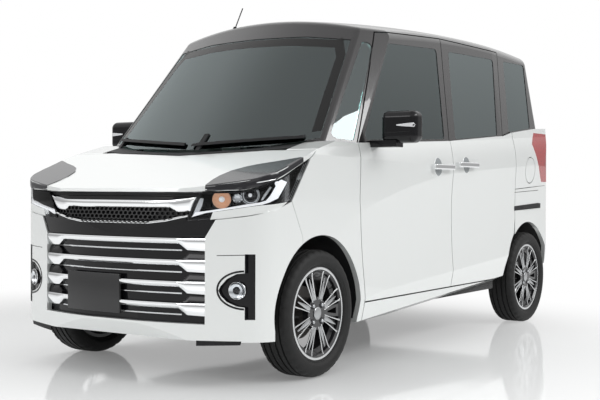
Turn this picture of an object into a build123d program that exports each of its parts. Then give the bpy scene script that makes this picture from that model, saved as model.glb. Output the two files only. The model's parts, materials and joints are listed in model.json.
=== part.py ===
# A tall five-door kei car: hinged front doors, sliding rear doors, bonnet, tailgate.
# Frame: +X is the car's left side, the front faces -Y, +Z is up, and the origin lies
# on the ground under the middle of the car.  Millimetres.
from build123d import *
import os
from math import cos, radians, sin

os.makedirs("parts", exist_ok=True)

# ---- Main sizes ----
LENGTH = 3395.0
WIDTH = 1475.0
HEIGHT = 1775.0
WHEELBASE = 2430.0
FRONT_OVERHANG = 555.0
FRONT_TRACK = 1300.0
REAR_TRACK = 1290.0

# ---- Wheels ----
TYRE_RADIUS = 281.0
TYRE_WIDTH = 165.0
RIM_RADIUS = 207.0
RIM_WIDTH = 132.0
RIM_WALL = 9.0
FACE_DEPTH = 36.5
FACE_THICKNESS = 29.0
SPOKES = 8
HUB_RADIUS = 72.0
HUB_BORE = 30.0
LUG_COUNT = 4
LUG_CIRCLE = 100.0
LUG_HOLE = 6.3
DISC_RADIUS = 118.0
DISC_THICKNESS = 18.0
DRUM_RADIUS = 104.0
STUB_RADIUS = 16.0

# ---- Body form ----
NOSE_SWEEP = 168.0
TAIL_SWEEP = 45.0
NOSE_CORNER = 175.0
TAIL_CORNER = 105.0
BUMPER_BOTTOM = 195.0
LIP_HEIGHT = 830.0
LIP_SETBACK = 38.0
COWL_HEIGHT = 1000.0
COWL_SETBACK = 505.0
SILL_BOTTOM = 205.0
SILL_TOP = 296.0
SKIRT_WIDTH = 84.0
CREASE_HEIGHT = 386.0
SHOULDER_HEIGHT = 915.0
BELT_HEIGHT = 1090.0
SIDE_RISE = 0.058
SIDE_TAPER = 0.006
BELT_HALF = 715.0
TUMBLEHOME = 0.124
SCREEN_RUN = 0.93
ROOF_CROWN = 2200.0
ROOF_ARC = 11600.0
ROOF_PEAK = 800.0
ROOF_EDGE = 62.0
ARCH_RADIUS = 338.0

# ---- Panels and gaps ----
DOOR_DEPTH = 95.0
FRAME_DEPTH = 45.0
STEP = 18.0
PANEL_GAP = 6.0
SHUT_GAP = 2.0
SEAL_GAP = 0.3
GLASS_THICKNESS = 4.0
GLASS_SINK = 3.0
BONNET_THICKNESS = 18.0
PANEL_THICKNESS = 25.0
FLOOR_TOP = 335.0
FLOOR_THICKNESS = 45.0
BOOT_FLOOR = 560.0
LINER_THICKNESS = 5.0
RAIL_IN = 330.0
RAIL_OUT = 396.0
RAIL_BOTTOM = 430.0

# ---- Cabin ----
SEAT_X = 318.0
SEAT_WIDTH = 500.0
SEAT_BASE = 540.0
CUSHION = 130.0
BACK_THICKNESS = 110.0
WHEEL_TILT = 28.0
STEER_RADIUS = 180.0
STEER_X = -318.0

# ---- Steering and suspension ----
KINGPIN_X = 588.0
KINGPIN_Z = 190.0
KINGPIN_LEAN = 14.0
STRUT_RADIUS = 20.0
SPRING_RADIUS = 52.0
RUNNING_FIT = 0.08
BALL_PIN = 8.0
PISTON_RADIUS = 12.0
COLUMN_RADIUS = 20.0
BEAM_RADIUS = 34.0

NOSE = -LENGTH / 2
TAIL = LENGTH / 2
SIDE = WIDTH / 2
FRONT_AXLE = NOSE + FRONT_OVERHANG
REAR_AXLE = FRONT_AXLE + WHEELBASE
CABIN_HALF = SIDE - DOOR_DEPTH - 2.5
WHEEL_X = FRONT_TRACK / 2
REAR_WHEEL_X = REAR_TRACK / 2
COWL = NOSE + COWL_SETBACK
MID = FRONT_AXLE + 1300.0


lean_x, lean_z = -sin(radians(KINGPIN_LEAN)), cos(radians(KINGPIN_LEAN))
kingpin = Plane((KINGPIN_X, FRONT_AXLE, KINGPIN_Z), x_dir=(0, 1, 0), z_dir=(lean_x, 0, lean_z))


# ---- Small makers: prisms in each view, a shell, a mirrored pair ----
def side_prism(points, x_in, x_out, grow=0.0, corner=0.0):
    """A prism along X from a side-view outline of (y, z) points."""
    with BuildPart() as prism:
        with BuildSketch(Plane.YZ.offset(x_in)) as outline:
            with BuildLine():
                Polyline(*points, close=True)
            make_face()
            if corner:
                fillet(outline.vertices(), corner)
            if grow:
                offset(amount=grow, kind=Kind.INTERSECTION)
        extrude(amount=x_out - x_in)
    return prism.part


def front_prism(points, y_in, y_out, grow=0.0, corner=0.0):
    """A prism along Y from a front-view outline of (x, z) points."""
    with BuildPart() as prism:
        with BuildSketch(Plane.XZ.offset(-y_in)) as outline:
            with BuildLine():
                Polyline(*points, close=True)
            make_face()
            if corner:
                fillet(outline.vertices(), corner)
            if grow:
                offset(amount=grow, kind=Kind.INTERSECTION)
        extrude(amount=y_in - y_out)
    return prism.part


def plan_prism(points, z_in, z_out, grow=0.0):
    """A prism along Z from a plan outline of (x, y) points."""
    with BuildPart() as prism:
        with BuildSketch(Plane.XY.offset(z_in)):
            with BuildLine():
                Polyline(*points, close=True)
            make_face()
            if grow:
                offset(amount=grow, kind=Kind.INTERSECTION)
        extrude(amount=z_out - z_in)
    return prism.part


def box(x0, x1, y0, y1, z0, z1):
    """An upright box between two corners."""
    with BuildPart() as block:
        with Locations(((x0 + x1) / 2, (y0 + y1) / 2, (z0 + z1) / 2)):
            Box(x1 - x0, y1 - y0, z1 - z0)
    return block.part


def drum(x0, x1, y, z, radius):
    """A cylinder along X about (y, z)."""
    with BuildPart() as roller:
        with BuildSketch(Plane.YZ.offset(x0)):
            with Locations((y, z)):
                Circle(radius)
        extrude(amount=x1 - x0)
    return roller.part


def cut_from(form, keep, remove=()):
    """What keep leaves of form, less every solid in remove."""
    with BuildPart() as piece:
        add(form)
        add(keep, mode=Mode.INTERSECT)
        for item in remove:
            add(item, mode=Mode.SUBTRACT)
    return piece.part


def both_sides(piece):
    """A left-hand piece with its right-hand twin."""
    with BuildPart() as pair:
        add(piece)
        mirror(about=Plane.YZ)
    return pair.part


def save(piece, name):
    """Label a finished piece and write it to its own file."""
    piece.label = name
    export_step(piece, "parts/" + name + ".step")


# ---- Body form: the smooth outside that every panel is cut from ----
def rise(y):
    """How far the side lines have climbed at y, against the middle of the car."""
    return SIDE_RISE * (y - MID)


def lower_form(inset):
    """The body below the windows, drawn in by inset."""
    start = NOSE - 200.0
    climb = rise(start)
    lean = -SIDE_TAPER * (start - MID)
    wide = SIDE + lean - inset
    belt = BELT_HALF + lean - inset
    corner_x = SIDE - 11.0 - inset
    front_y = NOSE + NOSE_SWEEP + inset
    rear_y = TAIL - TAIL_SWEEP - inset
    with BuildPart() as form:
        with BuildSketch(Plane.XY.offset(BUMPER_BOTTOM - 40)) as plan:
            with BuildLine():
                ThreePointArc((-corner_x, front_y), (0, NOSE + inset), (corner_x, front_y))
                ThreePointArc((corner_x, front_y), (SIDE - inset, MID), (corner_x, rear_y))
                ThreePointArc((corner_x, rear_y), (0, TAIL - inset), (-corner_x, rear_y))
                ThreePointArc((-corner_x, rear_y), (inset - SIDE, MID), (-corner_x, front_y))
            make_face()
            fillet(plan.vertices().group_by(Axis.Y)[0], NOSE_CORNER - inset)
            fillet(plan.vertices().group_by(Axis.Y)[-1], TAIL_CORNER - inset)
        extrude(amount=HEIGHT)
        with BuildSketch(Plane.XZ.offset(-start), mode=Mode.PRIVATE) as section:
            with BuildLine():
                Polyline((-200, 120 + inset), (wide - 80, 120 + inset),
                         (wide - 30, CREASE_HEIGHT - 120 + climb),
                         (wide - 6, CREASE_HEIGHT + climb))
                ThreePointArc((wide - 6, CREASE_HEIGHT + climb),
                              (wide - 13, CREASE_HEIGHT + 230 + climb),
                              (wide, SHOULDER_HEIGHT + climb))
                ThreePointArc((wide, SHOULDER_HEIGHT + climb),
                              (wide - 6, SHOULDER_HEIGHT + 95 + climb),
                              (belt, BELT_HEIGHT + climb))
                Polyline((belt, BELT_HEIGHT + climb),
                         (belt - 400 * TUMBLEHOME, BELT_HEIGHT + 400 + climb),
                         (-200, BELT_HEIGHT + 400 + climb), (-200, 120 + inset))
            make_face()
        with BuildPart(mode=Mode.PRIVATE) as flank:
            extrude(section.sketch, amount=LENGTH + 1200, dir=(-SIDE_TAPER, 1, SIDE_RISE))
            mirror(about=Plane.YZ)
        add(flank.part, mode=Mode.INTERSECT)
        with BuildSketch(Plane.YZ.offset(-WIDTH)):
            with BuildLine():
                Polyline((NOSE + 45, BUMPER_BOTTOM), (NOSE + 6, BUMPER_BOTTOM + 60),
                         (NOSE, 420), (NOSE, 640), (NOSE + LIP_SETBACK, LIP_HEIGHT),
                         (COWL, COWL_HEIGHT), (COWL + 190, COWL_HEIGHT + 48),
                         (TAIL - 62, BELT_HEIGHT + rise(TAIL) + 72),
                         (TAIL - 30, 900), (TAIL - 5, 720), (TAIL, 640),
                         (TAIL - 10, 330), (TAIL - 45, BUMPER_BOTTOM + 20),
                         close=True)
            make_face()
            if inset:
                offset(amount=-inset, kind=Kind.INTERSECTION)
        extrude(amount=2 * WIDTH, mode=Mode.INTERSECT)
    return form.part


# Greenhouse stations: height, screen centre y, screen corner (x, y), side start (x, y),
# side rear (x, y), tail corner (x, y), tail centre y
def station(z):
    """Plan outline points of the greenhouse at height z."""
    up = z - COWL_HEIGHT
    centre = COWL + up * SCREEN_RUN
    corner = (646 - 0.163 * up, COWL + 159 + 0.82 * up)
    front = (BELT_HALF + 6 - 0.13 * up, COWL + 355 + 0.775 * up)
    rear = (BELT_HALF + 5 - TUMBLEHOME * up, 900.0)
    tail = (BELT_HALF - 18 - 0.135 * up, TAIL - 75 - 0.13 * up)
    return centre, corner, front, rear, tail, TAIL - 38 - 0.13 * up


def upper_form(inset):
    """The greenhouse, from under the windows to above the roof, drawn in by inset."""
    with BuildPart() as form:
        for z in (COWL_HEIGHT - 60, HEIGHT + 60):
            centre, corner, front, rear, tail, tail_y = station(z)
            with BuildSketch(Plane.XY.offset(z)) as ring:
                with BuildLine():
                    ThreePointArc((-corner[0], corner[1]), (0, centre), corner)
                    Polyline(corner, front, rear, tail)
                    ThreePointArc(tail, (0, tail_y), (-tail[0], tail[1]))
                    Polyline((-tail[0], tail[1]), (-rear[0], rear[1]),
                             (-front[0], front[1]), (-corner[0], corner[1]))
                make_face()
                fillet(ring.vertices().group_by(Axis.Y)[0], 45)
                fillet(ring.vertices().group_by(Axis.Y)[-1], 80)
                if inset:
                    offset(amount=-inset, kind=Kind.INTERSECTION)
        loft(ruled=True)
        add(roof_form(inset), mode=Mode.INTERSECT)
    return form.part


def roof_form(inset):
    """Everything under the crowned roof, as a slice of a wide barrel."""
    turn = 13.0
    reach = SIDE + 120
    top = HEIGHT - inset
    with BuildPart() as barrel:
        with BuildSketch(Plane.XZ.offset(-ROOF_PEAK)):
            with BuildLine():
                ThreePointArc((-reach, top - reach ** 2 / (2 * ROOF_CROWN)), (0, top),
                              (reach, top - reach ** 2 / (2 * ROOF_CROWN)))
                Polyline((reach, top - reach ** 2 / (2 * ROOF_CROWN)), (reach, 500),
                         (-reach, 500), (-reach, top - reach ** 2 / (2 * ROOF_CROWN)))
            make_face()
        revolve(axis=Axis((0, ROOF_PEAK, HEIGHT - ROOF_ARC), (1, 0, 0)),
                revolution_arc=2 * turn)
    return barrel.part.rotate(Axis((0, ROOF_PEAK, HEIGHT - ROOF_ARC), (1, 0, 0)), -turn)


# ---- Hulls: the outside and the depths that the pieces are cut between ----
A = FRONT_AXLE
lower_skin = lower_form(0)
with BuildPart() as upper_round:
    add(upper_form(0))
    fillet(upper_round.faces().sort_by(Axis.Z)[-1].edges(), ROOF_EDGE)
upper_skin = upper_round.part
with BuildPart() as skin_form:
    add(upper_skin)
    add(lower_skin)
upper_deep = upper_form(FRAME_DEPTH)
frame_void = upper_form(FRAME_DEPTH - SEAL_GAP)
with BuildPart() as tail_void:
    add(upper_form(75))
    add(lower_form(75))
panel_void = lower_form(PANEL_THICKNESS)
bonnet_void = lower_form(BONNET_THICKNESS)
glass_out = upper_form(GLASS_SINK)
glass_in = upper_form(GLASS_SINK + GLASS_THICKNESS)

# Side-view outlines as (y, z), measured back from the front axle
FAR = 900.0
BELT = [(338, 1046), (1316, 1092), (1954, 1143), (2061, 1150), (2194, 1176), (2580, 1218)]
FRONT_DOOR = [(383, SILL_TOP + 7), (329, 779), (338, 1046), (700, 1612), (1345, 1652),
              (1314, 1076), (1310, 772), (1334, SILL_TOP + 7)]
SLIDING_DOOR = [(1334 + PANEL_GAP, SILL_TOP + 7), (1310 + PANEL_GAP, 772),
                (1314 + PANEL_GAP, 1076), (1345 + PANEL_GAP, 1652), (2125, 1660),
                (2061, 1150), (2194, 1176), (2210, 845), (2219, 660), (2160, SILL_TOP + 7)]
FRONT_PANE = [(392, 1062), (742, 1560), (1284, 1590), (1262, 1100)]
SLIDING_PANE = [(1398, 1104), (1432, 1592), (2046, 1610), (1985, 1150)]
FORE_PANE = [(196, 1068), (604, 1556), (664, 1560), (318, 1054)]
REAR_PANE = [(2180, 1180), (2222, 1618), (2600, 1630), (2572, 1222)]
QUARTER = [(2194 + PANEL_GAP, 1240), (2210 + PANEL_GAP, 834), (2643, 855), (2900, 868),
           (2900, 1300)]
ABOVE = [(-200, 1052), (40, 1052)] + BELT + [(2900, 1235), (2900, 1900), (-200, 1900)]


def ahead(points):
    """Outline points placed from the front axle."""
    return [(A + y, z) for y, z in points]


def side_cut(points, x_in, grow=0.0, corner=0.0):
    """A left-hand prism of an outline that is measured from the front axle."""
    return side_prism(ahead(points), x_in, FAR, grow, corner)


above_belt = side_prism(ahead(ABOVE), -FAR, FAR)
arches = []
for arch_y in (FRONT_AXLE, REAR_AXLE):
    for lip in (ARCH_RADIUS, ARCH_RADIUS + 14):
        with BuildPart() as arch:
            add(drum(380, FAR, arch_y, TYRE_RADIUS + 8, lip))
            add(box(380, FAR, arch_y - lip + 4, arch_y + lip - 4, 0, TYRE_RADIUS + 8))
        arches.append(arch.part)
front_arch, front_arch_wide, rear_arch, rear_arch_wide = arches

liners = []
for axle in (FRONT_AXLE, REAR_AXLE):
    for radius in (ARCH_RADIUS + 8, ARCH_RADIUS + 8 - LINER_THICKNESS):
        inner = 404 if axle == FRONT_AXLE else 520
        reach = inner if radius > ARCH_RADIUS + 5 else inner + LINER_THICKNESS
        with BuildPart() as liner:
            add(drum(reach, SIDE, axle, TYRE_RADIUS + 8, radius))
            add(box(reach, SIDE, axle - radius, axle + radius, 100, TYRE_RADIUS + 8))
        liners.append(liner.part)
LAMP = [(-560, 680), (-468, 704), (-233, 776), (-92, 962), (-433, 820), (-560, 812)]
LAMP_INNER = [(384, 600), (384, 706), (455, 836), (FAR, 1300), (FAR, 600)]


def lamp_wedge(inset, deep, shrink):
    """The left headlamp's block between two insets, drawn in by shrink at its rims."""
    wedge = cut_from(side_cut(LAMP, 380, -shrink),
                     front_prism(LAMP_INNER, NOSE - 100, FRONT_AXLE + 100, -shrink))
    return cut_from(lower_form(inset), wedge, (lower_form(deep),))


lamp_block = lamp_wedge(5, 90, 1.5)

# ---- Front doors ----
STEP_PLANE = SIDE - 40.0
door_skin_cut = side_cut(FRONT_DOOR, STEP_PLANE)
door_inner_cut = cut_from(side_cut(FRONT_DOOR, CABIN_HALF, -STEP),
                          box(0, STEP_PLANE, -3000, 3000, 0, 3000))
with BuildPart() as door_block:
    add(skin_form.part)
    with BuildPart(mode=Mode.PRIVATE) as cutter:
        add(door_skin_cut)
        add(door_inner_cut)
    add(cutter.part, mode=Mode.INTERSECT)
    add(above_belt, mode=Mode.SUBTRACT)
door_panel_left = door_block.part

frame_region = cut_from(side_cut(FRONT_DOOR, 480), above_belt)
door_frame_left = cut_from(upper_skin, frame_region,
                           (frame_void, side_cut(FRONT_PANE, 480, 0, 22)))
door_glass_left = cut_from(glass_out, side_cut(FRONT_PANE, 480, -SEAL_GAP, 22), (glass_in,))

# ---- Sliding doors: fixed here, as they move outwards and then back ----
slide_skin_cut = side_cut(SLIDING_DOOR, STEP_PLANE)
slide_inner_cut = cut_from(side_cut(SLIDING_DOOR, CABIN_HALF, -STEP),
                           box(0, STEP_PLANE, -3000, 3000, 0, 3000), (rear_arch_wide,))
with BuildPart() as slide_block:
    add(skin_form.part)
    with BuildPart(mode=Mode.PRIVATE) as cutter:
        add(slide_skin_cut)
        add(slide_inner_cut)
    add(cutter.part, mode=Mode.INTERSECT)
    add(above_belt, mode=Mode.SUBTRACT)
    add(rear_arch_wide, mode=Mode.SUBTRACT)
slide_frame_region = cut_from(side_cut(SLIDING_DOOR, 480), above_belt)
slide_frame_left = cut_from(upper_skin, slide_frame_region,
                            (frame_void, side_cut(SLIDING_PANE, 480, 0, 22)))
slide_glass_left = cut_from(glass_out, side_cut(SLIDING_PANE, 480, -SEAL_GAP, 22), (glass_in,))

# ---- Roof and pillars ----
SCREEN = [(-622, 1062), (-420, 1026), (0, 1012), (420, 1026), (622, 1062),
          (536, 1566), (300, 1594), (0, 1600), (-300, 1594), (-536, 1566)]
TAILGATE = [(-596, 566), (596, 566), (606, 880), (596, 1190), (560, 1640), (540, 1850),
            (-540, 1850), (-560, 1640), (-596, 1190), (-606, 880)]
tailgate_hole = front_prism(TAILGATE, A + 2585, A + 3000, PANEL_GAP)
door_holes = both_sides(side_cut(FRONT_DOOR, 440, PANEL_GAP))
slide_holes = both_sides(side_cut(SLIDING_DOOR, 440, PANEL_GAP))
pane_holes = [both_sides(side_cut(pane, 440, 0, 20)) for pane in (FORE_PANE, REAR_PANE)]
screen_hole = front_prism(SCREEN, NOSE, A + 640)
roof_shell = cut_from(upper_skin, above_belt,
                      [upper_deep, door_holes, slide_holes, screen_hole, tailgate_hole]
                      + pane_holes)
with BuildPart() as post:
    add(upper_form(FRAME_DEPTH + 7))
    add(side_cut([(1255, 1100), (1405, 1100), (1421, 1655), (1271, 1655)], 400),
        mode=Mode.INTERSECT)
    add(upper_form(FRAME_DEPTH + 34), mode=Mode.SUBTRACT)
    add(box(CABIN_HALF - 50, CABIN_HALF - 7, A + 1255, A + 1405, FLOOR_TOP, 1160))
# The flanges that the doors close against, behind the skins' rims
ring_slab = []
for outline in (FRONT_DOOR, SLIDING_DOOR):
    ring_slab.append(side_cut(outline, CABIN_HALF - 12, 2 * PANEL_GAP))
with BuildPart() as ring_lower:
    add(ring_slab[0])
    add(ring_slab[1])
    add(box(0, CABIN_HALF + 22, -3000, 3000, SILL_TOP, 3000), mode=Mode.INTERSECT)
    for item in (above_belt, side_cut(QUARTER, 600), side_cut(FRONT_DOOR, 600, PANEL_GAP - STEP),
                 side_cut(SLIDING_DOOR, 600, PANEL_GAP - STEP), liners[0], liners[2],
                 box(600, 700, A + 300, A + 334, 1030, 1060)):
        add(item, mode=Mode.SUBTRACT)
tail_flange = cut_from(upper_form(FRAME_DEPTH - 5), cut_from(
    front_prism(TAILGATE, A + 2500, A + 3000, 3 * PANEL_GAP), above_belt),
    (upper_form(95), front_prism(TAILGATE, A + 2400, A + 3000, -20),
     cut_from(front_prism(TAILGATE, A + 2400, A + 3000, PANEL_GAP),
              box(-FAR, FAR, 0, 3000, 0, 3000), (upper_form(75 + SEAL_GAP),))))
save(roof_shell, "roof_and_pillars")
with BuildPart() as half_flanges:
    add(post.part)
    add(ring_lower.part)
save(both_sides(half_flanges.part), "door_flanges")
save(cut_from(tail_flange, box(-FAR, FAR, 0, 3000, 0, 3000), (roof_shell,)), "tailgate_flange")

save(cut_from(glass_out, front_prism(SCREEN, NOSE, A + 640, -SEAL_GAP), (glass_in,)),
     "windscreen")
for pane, name in ((FORE_PANE, "front_quarter_glass"),):
    save(both_sides(cut_from(glass_out, side_cut(pane, 440, -SEAL_GAP, 20), (glass_in,))), name)
with BuildPart() as rear_side_glass:
    add(cut_from(glass_out, side_cut(REAR_PANE, 440, -SEAL_GAP, 20), (glass_in,)))
    add(slide_glass_left)
    mirror(about=Plane.YZ)
save(rear_side_glass.part, "rear_side_glass")
save(both_sides(slide_block.part), "sliding_door_panels")
save(both_sides(slide_frame_left), "sliding_door_frames")

for side_name, flip in (("left", False), ("right", True)):
    for piece, name in ((door_panel_left, "front_door_panel_"),
                        (door_frame_left, "front_door_frame_"),
                        (door_glass_left, "front_door_glass_")):
        turned = piece.mirror(Plane.YZ) if flip else piece
        save(turned, name + side_name)

# ---- Bonnet, wings, cowl ----
BONNET_SIDE = [(-620, 808), (-433, 824), (-92, 966), (9, 1036), (30, 1100), (-620, 1100)]
BONNET_REAR = [(-SIDE, -700), (SIDE, -700), (SIDE, 20), (646, 20), (420, -52), (0, -98),
               (-420, -52), (-646, 20), (-SIDE, 20)]
bonnet_plan = plan_prism([(x, A + y) for x, y in BONNET_REAR], 600, 1200)
bonnet_region = cut_from(side_prism(ahead(BONNET_SIDE), -FAR, FAR), bonnet_plan)
bonnet_piece = cut_from(lower_skin, bonnet_region, (bonnet_void,))
save(bonnet_piece, "bonnet")

bonnet_space = cut_from(side_prism(ahead(BONNET_SIDE), -FAR, FAR, PANEL_GAP),
                        plan_prism([(x, A + y) for x, y in BONNET_REAR], 600, 1200, PANEL_GAP))
WING = [(-148, 626), (-229, 779), (-90, 960), (9, 1032), (60, 1120), (338 - PANEL_GAP, 1120),
        (338 - PANEL_GAP, 1046), (329 - PANEL_GAP, 779), (383 - PANEL_GAP, SILL_TOP + 7),
        (377, SILL_BOTTOM), (-100, SILL_BOTTOM)]
wing_left = cut_from(lower_skin, side_cut(WING, 560),
                     (panel_void, front_arch, bonnet_space, above_belt))
save(both_sides(wing_left), "front_wings")
COWL_PLAN = [(-640, 30), (-420, -40), (0, -88), (420, -40), (640, 30), (600, 150), (0, 150),
             (-600, 150)]
cowl_piece = cut_from(lower_skin, plan_prism([(x, A + y) for x, y in COWL_PLAN],
                                             COWL_HEIGHT - 59, 1200),
                      (bonnet_space, upper_skin, lower_form(60), both_sides(side_cut(WING, 560))))
save(cowl_piece, "cowl")

# ---- Front bumper with the grille openings ----
BUMPER_SIDE = [(-600, 150), (-100, 150), (-148 - SHUT_GAP, 626), (-229 - SHUT_GAP, 776),
               (-468, 702), (-600, 668)]
GRILLE_HALF = 467.0
GRILLE_FOOT = 264.0
GRILLE_STEP = 626.0
OPENING = [(-GRILLE_HALF, GRILLE_FOOT), (GRILLE_HALF, GRILLE_FOOT), (GRILLE_HALF, GRILLE_STEP),
           (521, 716), (521, 760), (-521, 760), (-521, 716), (-GRILLE_HALF, GRILLE_STEP)]
GRILLE_PANEL = [(-GRILLE_HALF, GRILLE_STEP), (GRILLE_HALF, GRILLE_STEP), (521, 716),
                (390, 722), (285, 701), (197, 691), (-197, 691), (-285, 701), (-390, 722),
                (-521, 716)]
GRILLE_UPPER = [(-385, 712), (-285, 690), (-197, 680), (197, 680), (285, 690), (385, 712),
                (436, 806), (-436, 806)]
FOG = [(667, 289), (667, 560), (632, 560), (632, 482), (600, 478), (560, 456), (534, 425),
       (526, 408), (534, 388), (560, 362), (600, 344), (632, 340), (632, 289)]
bumper_region = side_prism(ahead(BUMPER_SIDE), -FAR, FAR)
bumper = cut_from(lower_skin, bumper_region,
                  (panel_void, both_sides(front_arch),
                   box(-600, 600, A - 430, A, 0, 640),
                   front_prism(OPENING, NOSE - 100, NOSE + 300),
                   both_sides(front_prism(FOG, NOSE - 100, A - 300))))
save(bumper, "front_bumper")
lamp_space = both_sides(side_cut(LAMP, 380, 0.5))
lamp_slant = front_prism([(380, 600), (380, 705), (452, 836), (FAR, 1300), (FAR, 600)],
                         NOSE - 100, A + 100)
lamp_room = cut_from(lamp_space, both_sides(lamp_slant))
with BuildPart() as grille:
    add(cut_from(lower_form(22), front_prism(GRILLE_UPPER, NOSE - 50, NOSE + 300),
                 (lower_form(44),)))
    add(cut_from(lower_form(6), front_prism(GRILLE_PANEL, NOSE - 50, NOSE + 300, -SEAL_GAP),
                 (lower_form(36),)))
    add(cut_from(lower_form(30),
                 box(SEAL_GAP - GRILLE_HALF, GRILLE_HALF - SEAL_GAP, NOSE - 50, NOSE + 300,
                     GRILLE_FOOT + SEAL_GAP, GRILLE_STEP + 6), (lower_form(50),)))
    add(lamp_room, mode=Mode.SUBTRACT)
save(grille.part, "grille")
save(both_sides(lamp_wedge(1, 5, 1.5)), "headlamp_lenses")
save(both_sides(cut_from(lamp_block, box(0, FAR, -3000, 0, 0, 2000),
                         (lamp_wedge(4, 84, 7.5),))),
     "headlamp_housings")
with BuildPart() as fog_left:
    add(cut_from(lower_form(14), front_prism(FOG, NOSE - 100, A - 300, -SEAL_GAP),
                 (lower_form(34),)))
    with BuildSketch(Plane.XZ.offset(-(A - 428))):
        with Locations((600, 409)):
            Circle(36)
    extrude(amount=26)
    add(lower_form(4), mode=Mode.INTERSECT)
save(both_sides(fog_left.part), "fog_lamps")

# ---- Rear quarters, lamps and bumper ----
REAR_LAMP = [(2555, 1191), (2497, 1119), (2647, 879), (2900, 879), (2900, 1191)]
lamp_keep = cut_from(side_cut(REAR_LAMP, 440), box(612, FAR, 0, 3000, 0, 2000))
quarter_left = cut_from(lower_skin, side_cut(QUARTER, CABIN_HALF),
                        (above_belt, tailgate_hole, lamp_keep))
lid_y, lid_z, lid_r = A + 2446, 951.0, 78.0
lid_cup = drum(690, FAR, lid_y, lid_z, lid_r + 6)
with BuildPart() as quarters:
    add(quarter_left)
    mirror(about=Plane.YZ)
    add(lid_cup, mode=Mode.SUBTRACT)
save(quarters.part, "quarter_panels")
save(cut_from(lower_skin, drum(SIDE - 17, FAR, lid_y, lid_z, lid_r)), "fuel_lid")
lamp_left = cut_from(lower_form(0), side_cut(REAR_LAMP, 440),
                     (lower_form(45), box(-FAR, 612, 0, 3000, 0, 2000), above_belt))
save(both_sides(lamp_left), "rear_lamps")
REAR_BUMPER = [(2219 + PANEL_GAP, 150), (2219 + PANEL_GAP, 660), (2212 + PANEL_GAP, 830),
               (2643, 851), (2900, 864), (2900, 150)]
rear_bumper = cut_from(lower_skin,
                       side_prism(ahead(REAR_BUMPER), -FAR, FAR),
                       (panel_void, both_sides(rear_arch),
                        box(-600, 600, A + 2000, A + 2640, 0, 700),
                        front_prism([(-602, 560), (602, 560), (612, 900), (-612, 900)],
                                    A + 2300, A + 3000)))
save(rear_bumper, "rear_bumper")

# ---- Tailgate ----
TAIL_PANE = [(-540, 1200), (540, 1200), (520, 1560), (-520, 1560)]
tail_block = cut_from(skin_form.part, front_prism(TAILGATE, A + 2585 + PANEL_GAP, A + 3000),
                      (tail_void.part,
                       front_prism(TAIL_PANE, A + 2400, A + 3000)))
tail_split = box(-FAR, FAR, 0, 3000, 0, 1165)
save(cut_from(tail_block, tail_split), "tailgate_panel")
save(cut_from(tail_block, box(-FAR, FAR, 0, 3000, 1165, 3000)), "tailgate_frame")
save(cut_from(glass_out, front_prism(TAIL_PANE, A + 2400, A + 3000, -SEAL_GAP), (glass_in,)),
     "tailgate_glass")

# ---- Sills, floor, bulkhead ----
sill_left = cut_from(lower_skin, box(SIDE - SKIRT_WIDTH, FAR, A + 383, A + 2047, SILL_BOTTOM,
                                     SILL_TOP))
save(both_sides(sill_left), "side_sills")
FLOOR = [(142, FLOOR_TOP), (142, FLOOR_TOP - FLOOR_THICKNESS),
         (2080, FLOOR_TOP - FLOOR_THICKNESS), (2080, BOOT_FLOOR - 40),
         (2640, BOOT_FLOOR - 40), (2640, BOOT_FLOOR), (1960, BOOT_FLOOR), (1960, FLOOR_TOP)]
liner_cuts = [both_sides(liners[0]), both_sides(liners[2])]
floor_piece = cut_from(side_prism(ahead(FLOOR), -CABIN_HALF + 12, CABIN_HALF - 12),
                       box(-FAR, FAR, -3000, 3000, 0, 2000), liner_cuts)
bulkhead = cut_from(lower_form(70), box(-620, 620, A + 110, A + 142, FLOOR_TOP - FLOOR_THICKNESS,
                                        1000), liner_cuts)
rail_front = cut_from(lower_form(PANEL_THICKNESS + 42),
                      box(RAIL_IN, RAIL_OUT, -3000, A + 112, RAIL_BOTTOM, RAIL_BOTTOM + 80))
lamp_carrier = cut_from(panel_void, box(RAIL_OUT - 10, 640, A - 425, A - 352, RAIL_BOTTOM, 840),
                        (lamp_block, bonnet_space, front_prism(FOG, NOSE - 100, A - 300, 1)))
radiator_panel = cut_from(lower_form(BONNET_THICKNESS + SEAL_GAP),
                          box(-RAIL_OUT, RAIL_OUT, A - 470, A - 425, RAIL_BOTTOM, 900),
                          (lamp_block.mirror(Plane.YZ), lamp_block,
                           cut_from(lower_skin, box(-RAIL_OUT - 9, RAIL_OUT + 9, -3000, 0, 0, 810),
                                    (lower_form(53),))))
with BuildPart() as floor:
    add(floor_piece)
    add(bulkhead)
    add(both_sides(rail_front))
    add(both_sides(lamp_carrier))
    add(radiator_panel)
    for rocker_x in (CABIN_HALF - 30, SKIRT_WIDTH - SIDE):
        add(box(rocker_x, rocker_x + SIDE - SKIRT_WIDTH - CABIN_HALF + 30, A + 383, A + 2040,
                SILL_BOTTOM + 30, SILL_TOP))
    for seat_x in (-SEAT_X, SEAT_X):
        add(box(seat_x - 190, seat_x + 190, A + 800, A + 1210, FLOOR_TOP - 5, SEAT_BASE))
save(floor.part, "floor_and_bulkhead")
liner_parts = []
for outer, inner in ((liners[0], liners[1]), (liners[2], liners[3])):
    liner_parts.append(cut_from(outer, cut_from(panel_void, box(380, FAR, -3000, 3000,
                                                                SILL_BOTTOM + 20, 1000)),
                                (inner, box(CABIN_HALF - 14, FAR, A + 380, A + 2045, 0, 1000))))
with BuildPart() as wheel_liners:
    add(liner_parts[0])
    add(liner_parts[1])
    add(box(390, 600, A - 72, A + 72, 100, KINGPIN_Z + 60), mode=Mode.SUBTRACT)
    with BuildSketch(kingpin):
        Circle(SPRING_RADIUS + 6)
    extrude(amount=600, mode=Mode.SUBTRACT)
    add(drum(480, 600, REAR_AXLE, TYRE_RADIUS, BEAM_RADIUS + 12), mode=Mode.SUBTRACT)
    mirror(about=Plane.YZ)
save(wheel_liners.part, "wheel_liners")


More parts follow.
